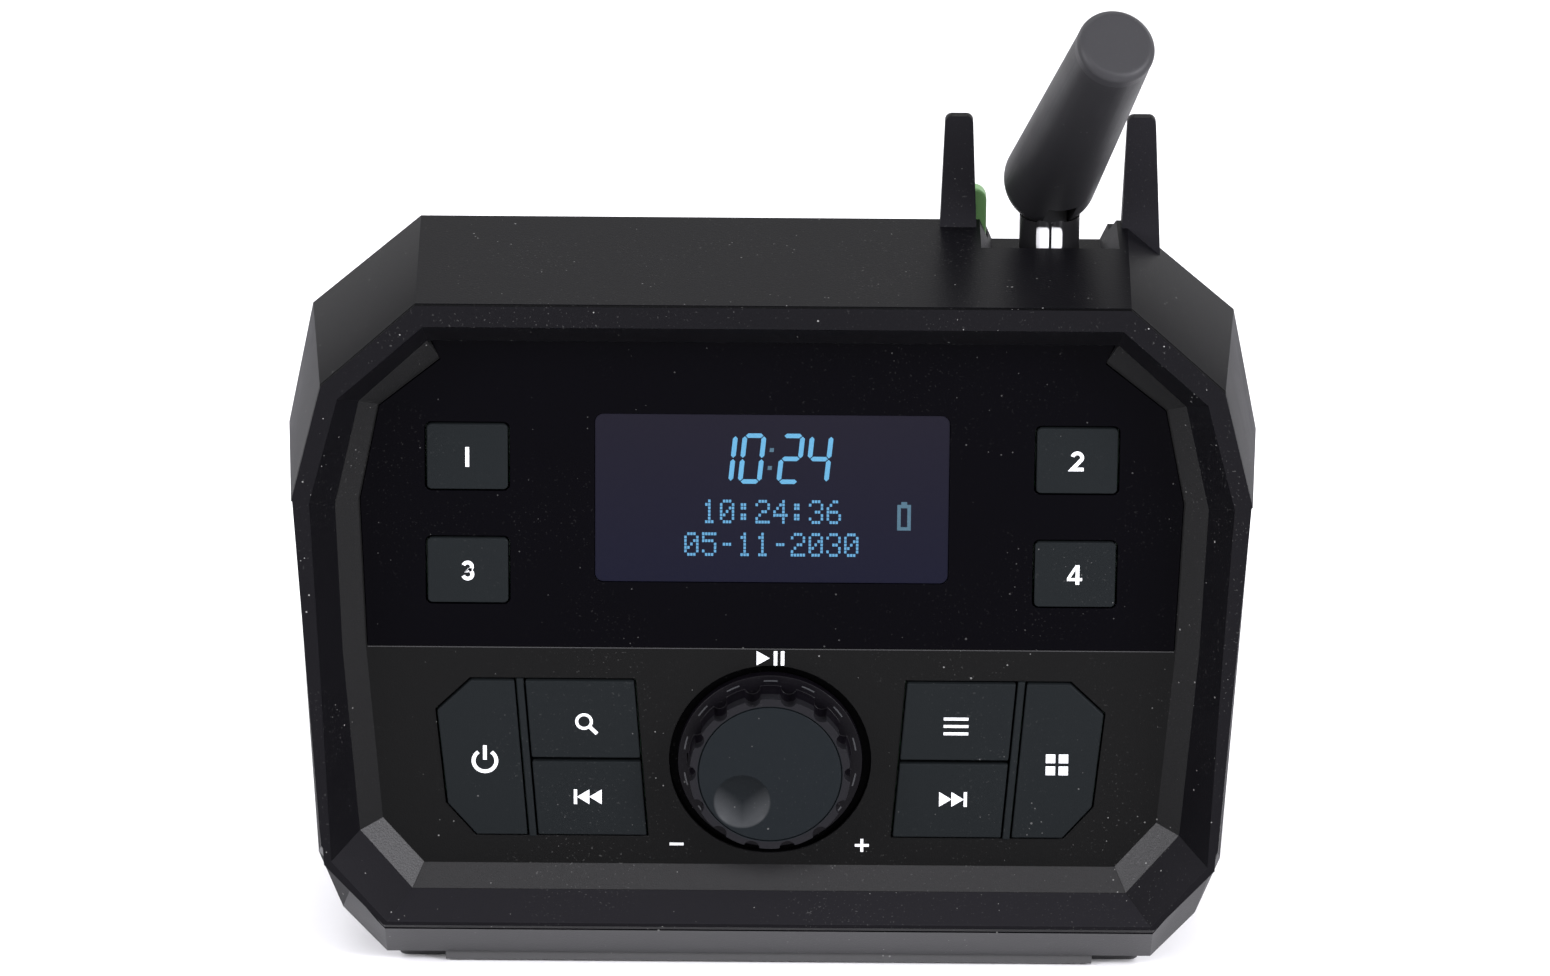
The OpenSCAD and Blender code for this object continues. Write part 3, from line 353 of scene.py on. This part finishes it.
# Knob: painted shade in the finger dimple, painted light on its lit side and lower part, and a painted highlight on
# the cap's rim.
DIMPLE_AT = (DIMPLE_X, DIMPLE_Z, DIMPLE_R, DIMPLE_EDGE_R)
DIMPLE = Zone(within(*DIMPLE_AT), (0.0045, 0.0058, 0.0068), rough=0.4, level=0.065)
DIMPLE_LIT = Zone(bowl_light(*DIMPLE_AT), (0.026, 0.028, 0.03), rough=0.4, level=0.1)
CAP_EDGE_PAINTED_HIGHLIGHT = Zone(within(KNOB_X, KNOB_Z, RIM_OUTER_R, RIM_INNER_R), (0.009, 0.0088, 0.0104), rough=0.45, level=0.065)

# Knuckle: dark, except for its two lobes, which are painted highlights.
OFF_LOBES = Zone(off_lobes(LOBES_X, LOBES_Z, LOBE_OFFSET, LOBE_HALF_W, LOBE_HALF_H), (0.012, 0.012, 0.013),
                 rough=0.4, level=0.3)

# Look of each material slot of the record.
LOOKS = {
    "housing": surface("housing_plastic", (0.0128, 0.0125, 0.0145), rough=0.5, level=0.025, grain_mm=0.35,
                       depth_mm=0.025, specks=0.45, zones=[RIM_PAINTED_SHADE, UNDERSIDE_PAINTED_LIGHT, SATIN_TOP_PAINTED_SHADE, SHOULDER],
                       Specular_Tint=COOL),
    "bezel": surface("bezel_rubber", (0.003, 0.0029, 0.0036), rough=0.36, level=0.068, grain_mm=0.3, depth_mm=0.02,
                     specks=0.6, zones=[DUST_AND_PAINTED_LIGHT, CREASE_PAINTED_SHADE], Specular_Tint=COOL),
    "panel": surface("panel_plastic", (0.0022, 0.0022, 0.0022), rough=0.32, level=0.074, grain_mm=0.3, depth_mm=0.04,
                     specks=0.4, zones=[STRIP, UPWARD_STRIP_PAINTED_LIGHT, CORNER_STRIP_PAINTED_HIGHLIGHT, GAP_PAINTED_SHADE]),
    "window": surface("window_gloss", (0.0009, 0.0008, 0.0014), rough=0.12, level=0.02, grain_mm=6.0, depth_mm=0.002,
                      tone=0.05, specks=0.12, Specular_Tint=COOL),
    "lcd": surface("lcd_glass", (0.0078, 0.0071, 0.0115), rough=0.16, level=0.026, grain_mm=0.25, depth_mm=0.001,
                   fade=(LCD_LOW.z, LCD_HIGH.z, (0.0048, 0.0052, 0.0125))),
    "keys": surface("key_rubber", (0.0068, 0.0082, 0.009), rough=0.6, level=0.05, grain_mm=0.22, depth_mm=0.02,
                    rough_spread=0.04, specks=0.2),
    "knob": surface("knob_satin", (0.0058, 0.0076, 0.009), rough=0.4, level=0.065, grain_mm=0.25, depth_mm=0.012,
                    tone=0.06, specks=0.2, zones=[DIMPLE, DIMPLE_LIT, CAP_EDGE_PAINTED_HIGHLIGHT]),
    "grille": surface("grille_plastic", (0.006, 0.006, 0.0066), rough=0.5, level=0.2, grain_mm=0.3, depth_mm=0.02),
    "speaker": surface("speaker_paper", (0.02, 0.02, 0.02), rough=0.8, grain_mm=0.6, depth_mm=0.05, tone=0.2),
    "magnet": surface("magnet_ferrite", (0.07, 0.07, 0.07), rough=0.6, grain_mm=0.5, depth_mm=0.04, tone=0.2),
    # Painted highlights: the knuckle's lobes are a near-white colour in place of the plating's reflections.
    "chrome": surface("plated_knuckle_painted_highlights", (0.95, 0.95, 0.96), rough=0.3, grain_mm=2.0, depth_mm=0.002, tone=0.03,
                      rough_spread=0.05, zones=[OFF_LOBES], Metallic=0.2),
    "antenna": surface("sleeve_rubber", (0.0135, 0.0133, 0.0148), rough=0.5, level=0.2, grain_mm=0.25, depth_mm=0.02,
                       specks=0.12),
    "latch": surface("latch_green", (0.2, 0.42, 0.15), rough=0.4, grain_mm=0.4, depth_mm=0.01),
    "board": surface("board_green", (0.015, 0.08, 0.03), rough=0.4, grain_mm=1.0, depth_mm=0.02),
    "metal": surface("zinc_steel", (0.5, 0.5, 0.5), rough=0.3, grain_mm=0.3, depth_mm=0.006, rough_spread=0.06,
                     stretch=(1.0, 6.0, 1.0), Metallic=1.0),
    "carrier": surface("carrier_plastic", (0.5, 0.5, 0.48), rough=0.5, grain_mm=0.4, depth_mm=0.02),
    "battery": surface("battery_wrap", (0.03, 0.06, 0.15), rough=0.35, grain_mm=2.0, depth_mm=0.03),
    "foot": surface("foot_rubber", (0.03, 0.03, 0.032), rough=0.7, grain_mm=0.3, depth_mm=0.03, specks=0.2),
}

# Nodes whose look departs from their slot's.
SCREW_BLACK = surface("screw_black", (0.06, 0.06, 0.062), rough=0.36, grain_mm=0.3, depth_mm=0.006,
                      rough_spread=0.06, Metallic=1.0)
NODE_LOOKS = {
    "housing_screws": SCREW_BLACK,
    "base_screws": SCREW_BLACK,
    # The knob's column and skirt: dark plastic, darkened further by painted shade where they sit down in the panel's
    # recess.
    "knob": surface("knob_column", (0.0022, 0.0018, 0.0028), rough=0.36, level=0.08, grain_mm=0.25, depth_mm=0.012,
                    specks=0.2),
    "antenna_collar": surface("collar_plastic", (0.0062, 0.0061, 0.0068), rough=0.45, level=0.12, grain_mm=0.25,
                              depth_mm=0.015),
    "antenna_tip": surface("tip_rubber", (0.019, 0.0188, 0.0208), rough=0.5, level=0.22, grain_mm=0.25,
                           depth_mm=0.02, specks=0.12),
    "base_plate": surface("base_scuffed", (0.05, 0.05, 0.051), rough=0.5, level=0.3, grain_mm=0.4, depth_mm=0.03,
                          specks=0.4),
}
WHITE_PRINT = print_and_painted_light_ink("white_print", (0.72, 0.73, 0.74))
# Painted highlight of the panel's edge under the window.
EDGE_PAINTED_HIGHLIGHT = print_and_painted_light_ink("edge_painted_highlight", (0.014, 0.014, 0.015))
GREY_PRINT = print_and_painted_light_ink("grey_print", (0.024, 0.025, 0.028))
# Painted shade of the screws' cross recesses.
DRIVE_PAINTED_SHADE = print_and_painted_light_ink("drive_painted_shade", (0.0015, 0.0015, 0.0016))
LCD_SEGMENT = print_and_painted_light_ink("lcd_segment", (0.04, 0.165, 0.27), glow=0.1)
LCD_DOT = print_and_painted_light_ink("lcd_dot", (0.036, 0.145, 0.25), glow=0.08)
LCD_DIM = print_and_painted_light_ink("lcd_dim", (0.015, 0.052, 0.078), glow=0.05)


# CAD nodes: the look of each, and its rounded edges.

# Edge radius of each node's moulded corners, in mm.
EDGES = {"front_housing": 0.8, "rear_housing": 0.8, "front_bezel": 1.2, "control_panel": 0.25,
         "display_window": 0.12, "lcd_module": 0.08, "knob": 0.25, "knob_cap": 0.35, "antenna_collar": 0.4,
         "antenna_tip": 0.02, "antenna_sleeve": 0.02, "battery_cover": 0.4, "battery_latch": 0.5, "base_plate": 0.4}
EDGE_DEFAULT = 0.25
EDGE_STEPS = 3
# Corners sharper than this are rounded. The faceted mouldings keep their flatter creases too.
SHARP = math.radians(24)
CREASE = math.radians(13)
FACETED = {"front_housing", "rear_housing", "front_bezel", "control_panel"}
# Vertices closer than this are one, and faces that turn less than this are one flat face.
WELD_WITHIN = 0.002 * MM
FLAT_WITHIN = math.radians(0.6)
FACE_WEIGHT = 80


def round_edges(piece, name):
    weld = piece.modifiers.new("weld", "WELD")
    weld.merge_threshold = WELD_WITHIN
    flat = piece.modifiers.new("flat", "DECIMATE")
    flat.decimate_type = "DISSOLVE"
    flat.angle_limit = FLAT_WITHIN
    bevel = piece.modifiers.new("edge", "BEVEL")
    bevel.width = EDGES.get(name, EDGE_DEFAULT) * MM
    bevel.segments = EDGE_STEPS
    bevel.limit_method = "ANGLE"
    bevel.angle_limit = CREASE if name in FACETED else SHARP
    normals = piece.modifiers.new("normals", "WEIGHTED_NORMAL")
    normals.weight = FACE_WEIGHT
    normals.keep_sharp = False


for part in frame["record"]["subparts"]:
    piece = frame["nodes"][part["node"]]
    piece.data.materials.clear()
    piece.data.materials.append(NODE_LOOKS.get(part["node"], LOOKS[part["material_slot"]]))
    round_edges(piece, part["node"])


# Flat marks: each is made of closed prisms over outlines in (x, z) millimetres round its own middle.

def ribbon(points, width, closed=False):
    """Quads along a line of the given width, with mitred joins."""
    count = len(points)
    left, right = [], []
    for i, point in enumerate(points):
        here = Vector(point)
        before = Vector(points[i - 1]) if i or closed else here
        after = Vector(points[(i + 1) % count]) if i < count - 1 or closed else here
        into = (here - before).normalized() if before != here else (after - here).normalized()
        out = (after - here).normalized() if after != here else into
        along = (into + out).normalized()
        side = Vector((-along.y, along.x))
        reach = width / 2 / max(0.4, along.dot(into))
        left.append(here + side * reach)
        right.append(here - side * reach)
    last = count if closed else count - 1
    return [[left[i], right[i], right[(i + 1) % count], left[(i + 1) % count]] for i in range(last)]


def arc(x, z, radius, start, stop, steps=24):
    angles = [math.radians(start + (stop - start) * i / steps) for i in range(steps + 1)]
    return [(x + radius * math.cos(angle), z + radius * math.sin(angle)) for angle in angles]


def bar(x0, z0, x1, z1):
    return [[(x0, z0), (x1, z0), (x1, z1), (x0, z1)]]


def mark(name, outlines, x, z, face_y, body, material, slant=0.0, scale=1.0, side=FRONT):
    """Raised print at (x, z) on a face at face_y, which looks to the front or to the rear. It also draws the painted
    highlight and painted shade marks.
    """
    shape = bmesh.new()
    for outline in outlines:
        front, back = [], []
        for px, pz in outline:
            spot = (x + scale * (px + slant * pz) * MM, z + scale * pz * MM)
            front.append(shape.verts.new((spot[0], face_y + side * PRINT_T, spot[1])))
            back.append(shape.verts.new((spot[0], face_y - side * SINK, spot[1])))
        shape.faces.new(front)
        shape.faces.new(back[::-1])
        for i in range(len(front)):
            j = (i + 1) % len(front)
            shape.faces.new((front[j], front[i], back[i], back[j]))
    # Prisms that share an edge are joined, and the walls between them go.
    bmesh.ops.remove_doubles(shape, verts=shape.verts, dist=0.001 * MM)
    inner = [f for f in shape.faces if sum(set(f.verts) == set(g.verts) for g in f.verts[0].link_faces) > 1]
    bmesh.ops.delete(shape, geom=inner, context="FACES_ONLY")
    bmesh.ops.recalc_face_normals(shape, faces=shape.faces)
    mesh = bpy.data.meshes.new(name)
    shape.to_mesh(mesh)
    shape.free()
    mesh.materials.append(material)
    piece = bpy.data.objects.new(name, mesh)
    bpy.context.scene.collection.objects.link(piece)
    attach(piece, body)


def centre(node_name):
    """Middle of a node's front and the depth of that front, as (x, z, y)."""
    low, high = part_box(node_name)
    return (low.x + high.x) / 2, (low.z + high.z) / 2, low.y


# Numerals of the preset buttons, drawn 4 mm tall and printed at this scale.
NUMERAL_SCALE = 0.88
STROKE = 0.72
NUMERALS = {
    1: ribbon([(0, 2.0), (0, -2.0)], STROKE),
    2: ribbon(arc(0, 0.72, 0.92, 165, -20) + [(-0.95, -1.64), (1.25, -1.64)], STROKE),
    3: ribbon(arc(-0.05, 0.83, 0.82, 160, -80, 16) + arc(-0.05, -0.76, 0.9, 75, -160, 16), STROKE),
    4: [[(0.13, -2.0), (0.85, -2.0), (0.85, -1.25), (0.13, -1.25)],
        [(-1.5, -1.25), (0.13, -1.25), (0.85, -1.25), (1.4, -1.25), (1.4, -0.65), (0.85, -0.65), (0.13, -0.65),
         (-0.85, -0.65), (-1.5, -0.65)],
        [(0.13, -0.65), (0.85, -0.65), (0.85, 2.0), (0.13, 2.0), (0.13, 1.1)],
        [(-1.5, -0.65), (-0.85, -0.65), (0.13, 1.1), (0.13, 2.0)]],
}
for number, outlines in NUMERALS.items():
    button = f"preset_button_{number}"
    x, z, face = centre(button)
    mark(f"numeral_{number}", outlines, x, z, face, button, WHITE_PRINT, scale=NUMERAL_SCALE)

# Signs: places in mm, x from the middle line and z from a level 11 mm below the display's middle.
DATUM_Z = DISPLAY_Z - 11.0 * MM
LINE = 0.5
THICK_LINE = 0.65
TRIANGLE = [(-0.95, -1.35), (-0.95, 1.35), (1.15, 0)]
PLAY = [(-2.0, -1.3), (-2.0, 1.3), (0.2, 0)]
MINUS = bar(-1.2, -LINE / 2, 1.2, LINE / 2)


def shifted(outline, x, flip=1):
    return [(flip * (px + x), pz) for px, pz in outline]


# Signs of the function keys.
SIGNS = {
    "power_key": (-48.6, -36.7, ribbon(arc(0, 0, 1.95, 125, 415), THICK_LINE) + bar(-0.32, 0.2, 0.32, 2.8)),
    "search_key": (-31.3, -29.8, ribbon(arc(-0.4, 0.4, 1.25, 0, 345), LINE, closed=True)
                   + ribbon([(0.6, -0.6), (1.8, -1.8)], THICK_LINE)),
    "previous_key": (-31.1, -43.2, bar(-2.35, -1.35, -1.8, 1.35)
                     + [shifted(TRIANGLE, 0.65, -1), shifted(TRIANGLE, -1.45, -1)]),
    "menu_key": (31.6, -29.8, bar(-2.1, 1.1, 2.1, 1.6) + bar(-2.1, -0.25, 2.1, 0.25) + bar(-2.1, -1.6, 2.1, -1.1)),
    "next_key": (31.3, -43.2, bar(1.8, -1.35, 2.35, 1.35) + [shifted(TRIANGLE, 0.65), shifted(TRIANGLE, -1.45)]),
    "mode_key": (48.9, -36.7, bar(-1.9, 0.3, -0.3, 1.9) + bar(0.3, 0.3, 1.9, 1.9) + bar(-1.9, -1.9, -0.3, -0.3)
                 + bar(0.3, -1.9, 1.9, -0.3)),
}
for key, (x, z, outlines) in SIGNS.items():
    mark(f"{key}_sign", outlines, x * MM, DATUM_Z + z * MM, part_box(key)[0].y, key, WHITE_PRINT)

# Signs on the panel round the knob.
PANEL_SIGNS = {
    "play_sign": (-0.4, -17.8, [PLAY] + bar(0.9, -1.3, 1.5, 1.3) + bar(2.1, -1.3, 2.7, 1.3)),
    "minus_sign": (-15.9, -52.0, MINUS),
    "plus_sign": (15.8, -52.0, MINUS + bar(-0.25, 0.25, 0.25, 1.2) + bar(-0.25, -1.2, 0.25, -0.25)),
}
for name, (x, z, outlines) in PANEL_SIGNS.items():
    mark(name, outlines, x * MM, DATUM_Z + z * MM, PANEL_FACE, "radio", WHITE_PRINT)

# Painted highlight along the panel's moulded edge under the window, in mm below the window and from the ends of it.
EDGE_LINE_TOP, EDGE_LINE_BOTTOM = -0.16, -0.3
EDGE_LINE_INSET = 1.0
edge_half = (WINDOW_HIGH.x - WINDOW_LOW.x) / 2 / MM - EDGE_LINE_INSET
mark("panel_edge_painted_highlight", bar(-edge_half, EDGE_LINE_BOTTOM, edge_half, EDGE_LINE_TOP),
     (WINDOW_LOW.x + WINDOW_HIGH.x) / 2, WINDOW_LOW.z, PANEL_FACE, "radio", EDGE_PAINTED_HIGHLIGHT)

# Dashes round the knob's base disc, with radii in mm and half their length in degrees.
DASHES = 14
DASH_INNER_R, DASH_OUTER_R = 14.6, 14.85
DASH_HALF = 4.6
DASH_STEPS = 4
SKIRT_FACE = PANEL_FACE - 0.6 * MM
dashes = []
for i in range(DASHES):
    middle = 360.0 / DASHES * (i + 0.5)
    inner, outer = (arc(0, 0, radius, middle - DASH_HALF, middle + DASH_HALF, DASH_STEPS)
                    for radius in (DASH_INNER_R, DASH_OUTER_R))
    dashes.append(inner + outer[::-1])
mark("knob_dashes", dashes, KNOB_X, KNOB_Z, SKIRT_FACE, "knob", GREY_PRINT)


# Display: a large slanted clock, two lines of dots and a battery sign. Places are in mm, as for the signs.

SEGMENTS = {"0": "abcdef", "1": "bc", "2": "abged", "3": "abgcd", "4": "fgbc", "5": "afgcd", "6": "afgedc",
            "7": "abc", "8": "abcdefg", "9": "abcdfg"}
CLOCK_W, CLOCK_H = 3.2, 8.2
SEGMENT_T = 0.8
SEGMENT_GAP = 0.12
CLOCK_SLANT = 0.1
CLOCK_Z = 14.1
CLOCK = (("1", -10.2), ("0", -5.4), ("2", 1.1), ("4", 5.9))
COLON = bar(-1.0, 2.1, -0.3, 2.8) + bar(-1.0, 5.3, -0.3, 6.0)


def segment(x0, z0, x1, z1):
    """Bar with pointed ends from (x0, z0) to (x1, z1), which lie level or upright."""
    half = SEGMENT_T / 2
    point = SEGMENT_GAP
    neck = SEGMENT_GAP + half
    if z0 == z1:
        return [(x0 + point, z0), (x0 + neck, z0 + half), (x1 - neck, z0 + half),
                (x1 - point, z0), (x1 - neck, z0 - half), (x0 + neck, z0 - half)]
    return [(x0, z0 + point), (x0 + half, z0 + neck), (x0 + half, z1 - neck),
            (x0, z1 - point), (x0 - half, z1 - neck), (x0 - half, z0 + neck)]


def seven_segment(digit, x):
    """Outlines of one digit whose lower left corner is at (x, 0)."""
    right, top, waist = x + CLOCK_W, CLOCK_H, CLOCK_H / 2
    places = {"a": (x, top, right, top), "g": (x, waist, right, waist), "d": (x, 0, right, 0),
              "f": (x, waist, x, top), "b": (right, waist, right, top),
              "e": (x, 0, x, waist), "c": (right, 0, right, waist)}
    return [segment(*places[letter]) for letter in SEGMENTS[digit]]


clock = [outline for digit, x in CLOCK for outline in seven_segment(digit, x)]
for name, outlines, ink in (("clock_digits", clock, LCD_SEGMENT), ("clock_colon", COLON, LCD_DIM)):
    mark(name, outlines, 0, DATUM_Z + CLOCK_Z * MM, LCD_FACE, "radio", ink, slant=CLOCK_SLANT)

# Rows of the dot characters, from the top down.
DOT_FONT = {
    "0": "01110 10001 10011 10101 11001 10001 01110", "1": "00100 01100 00100 00100 00100 00100 01110",
    "2": "01110 10001 00001 00110 01000 10000 11111", "3": "01110 10001 00001 00110 00001 10001 01110",
    "4": "00010 00110 01010 10010 11111 00010 00010", "5": "11111 10000 11110 00001 00001 10001 01110",
    "6": "00110 01000 10000 11110 10001 10001 01110", "7": "11111 00001 00010 00100 01000 01000 01000",
    "8": "01110 10001 10001 01110 10001 10001 01110", "9": "01110 10001 10001 01111 00001 00010 01100",
    ":": "00000 01100 01100 00000 01100 01100 00000", "-": "00000 00000 00000 01110 00000 00000 00000",
}
# Columns from one character to the next, the grid of the dots in mm, and the part of its cell that a dot fills.
CHARACTER = 6
DOT_PITCH, DOT_RISE = 0.5, 0.62
DOT_FILL = 0.8


def dot_line(digits):
    """Outlines of a line of dot characters round its own middle, from the top row down."""
    outlines = []
    width = (CHARACTER * len(digits) - 1) * DOT_PITCH
    for i, digit in enumerate(digits):
        for row, cells in enumerate(DOT_FONT[digit].split()):
            for column, cell in enumerate(cells):
                if cell == "1":
                    x = (CHARACTER * i + column) * DOT_PITCH - width / 2
                    z = -row * DOT_RISE
                    outlines += bar(x, z - DOT_FILL * DOT_RISE, x + DOT_FILL * DOT_PITCH, z)
    return outlines


BATTERY = (ribbon([(-0.85, -2.2), (0.85, -2.2), (0.85, 1.8), (-0.85, 1.8)], 0.6, closed=True)
           + bar(-0.5, 2.1, 0.5, 2.6))
LCD_MARKS = {
    "time_digits": (0, 10.8, dot_line("10:24:36"), LCD_DOT),
    "date_digits": (0, 4.9, dot_line("05-11-2030"), LCD_DOT),
    "battery_sign": (22.3, 8.0, BATTERY, LCD_DIM),
}
for name, (x, z, outlines, ink) in LCD_MARKS.items():
    mark(name, outlines, x * MM, DATUM_Z + z * MM, LCD_FACE, "radio", ink)


# Cross drives of the rear screws, drawn as painted shade: dark crosses where the recesses fall in shade, one screw in
# each quarter of their node.

DRIVE = bar(-1.5, -0.3, 1.5, 0.3) + bar(-0.3, 0.3, 0.3, 1.5) + bar(-0.3, -1.5, 0.3, -0.3)


def screw_heads(node_name):
    """Middle and outer face of each screw's head, as (x, z, y)."""
    piece = frame["nodes"][node_name]
    x_mid, z_mid, _ = centre(node_name)
    quarters = {}
    for vertex in piece.data.vertices:
        spot = piece.matrix_world @ vertex.co
        quarters.setdefault((spot.z > z_mid, spot.x > x_mid), []).append(spot)
    for _, spots in sorted(quarters.items()):
        xs, ys, zs = zip(*spots)
        yield (min(xs) + max(xs)) / 2, (min(zs) + max(zs)) / 2, max(ys)


for number, (x, z, face) in enumerate(screw_heads("housing_screws"), 1):
    mark(f"screw_drive_{number}", DRIVE, x, z, face, "radio", DRIVE_PAINTED_SHADE, side=REAR)


# Camera: a long lens 20 degrees above the panel, rolled a little and shifted to the photo's framing.

AIM = Vector((0, -34.3 * MM, 73.4 * MM))
ELEVATION = math.radians(20)
ROLL = math.radians(0.42)
DISTANCE = 1.3976
SHIFT_RIGHT, SHIFT_UP = 0.59 * MM, 12.17 * MM
SENSOR_MM, LENS_MM = 36, 192.08
CLIP_START = 0.05

back = Vector((0, -math.cos(ELEVATION), math.sin(ELEVATION)))
level_right = Vector((1, 0, 0))
level_up = Vector((0, math.sin(ELEVATION), math.cos(ELEVATION)))
right = level_right * math.cos(ROLL) + level_up * math.sin(ROLL)
up = level_up * math.cos(ROLL) - level_right * math.sin(ROLL)
camera_data = bpy.data.cameras.new("camera")
camera_data.sensor_width = SENSOR_MM
camera_data.lens = LENS_MM
camera_data.clip_start = CLIP_START
camera = bpy.data.objects.new("camera", camera_data)
camera.matrix_world = (Matrix.Translation(AIM + back * DISTANCE + right * SHIFT_RIGHT + up * SHIFT_UP)
                       @ Matrix((right, up, back)).transposed().to_4x4())
bpy.context.scene.collection.objects.link(camera)
bpy.context.scene.camera = camera


# Light: soft boxes above, in front, at the sides and behind, and a white room that the camera and mirrors see.

LAMP_COLOR = (0.955, 0.945, 1.0)
# Strength of the room for the camera and for reflections, and for all other light.
ROOM_SEEN, ROOM_FILL = 1.0, 0.35


def soft_box(name, place, target_z, width, height, power):
    """Lamp at a place, turned to a height on the radio's middle line."""
    data = bpy.data.lights.new(name, "AREA")
    data.shape = "RECTANGLE"
    data.size = width
    data.size_y = height
    data.energy = power
    data.color = LAMP_COLOR
    lamp = bpy.data.objects.new(name, data)
    lamp.location = place
    lamp.rotation_euler = (Vector((0, 0, target_z)) - Vector(place)).to_track_quat("-Z", "Y").to_euler()
    bpy.context.scene.collection.objects.link(lamp)


soft_box("top_box", (-0.1, 0.33, 1.0), target_z=0.05, width=0.7, height=0.25, power=4.0)
soft_box("rear_left_box", (-0.8, 0.75, 0.62), target_z=0.06, width=0.34, height=0.4, power=4.5)
soft_box("rear_right_box", (0.8, 0.75, 0.62), target_z=0.06, width=0.34, height=0.4, power=4.5)
soft_box("front_box", (0.0, -0.74, 0.86), target_z=0.04, width=0.9, height=0.4, power=6.0)
soft_box("left_box", (-0.88, -0.62, 0.52), target_z=0.06, width=0.34, height=0.5, power=12.0)
soft_box("right_box", (0.88, -0.62, 0.52), target_z=0.06, width=0.34, height=0.5, power=19.0)

world = bpy.data.worlds.new("room")
bpy.context.scene.world = world
world.use_nodes = True
room = world.node_tree
rays = node(room, "LightPath").outputs
seen = node(room, "Math", operation="ADD", use_clamp=True)
feed(room, seen.inputs[0], rays["Is Camera Ray"])
feed(room, seen.inputs[1], rays["Is Glossy Ray"])
background = room.nodes["Background"]
feed(room, background.inputs["Color"], (1, 1, 1, 1))
feed(room, background.inputs["Strength"], blend(room, seen.outputs[0], ROOM_FILL, ROOM_SEEN))


# Floor

FLOOR_SIZE = 1.5
half = FLOOR_SIZE / 2
floor_mesh = bpy.data.meshes.new("floor")
floor_mesh.from_pydata([(-half, -half, 0), (half, -half, 0), (half, half, 0), (-half, half, 0)], [], [(0, 1, 2, 3)])
floor = bpy.data.objects.new("floor", floor_mesh)
bpy.context.scene.collection.objects.link(floor)
floor_look = surface("floor_white", (0.92, 0.92, 0.92), rough=0.9, grain_mm=3.0, depth_mm=0.01, tone=0.01)
floor_mesh.materials.append(floor_look)

bpy.context.scene.view_settings.view_transform = "Standard"
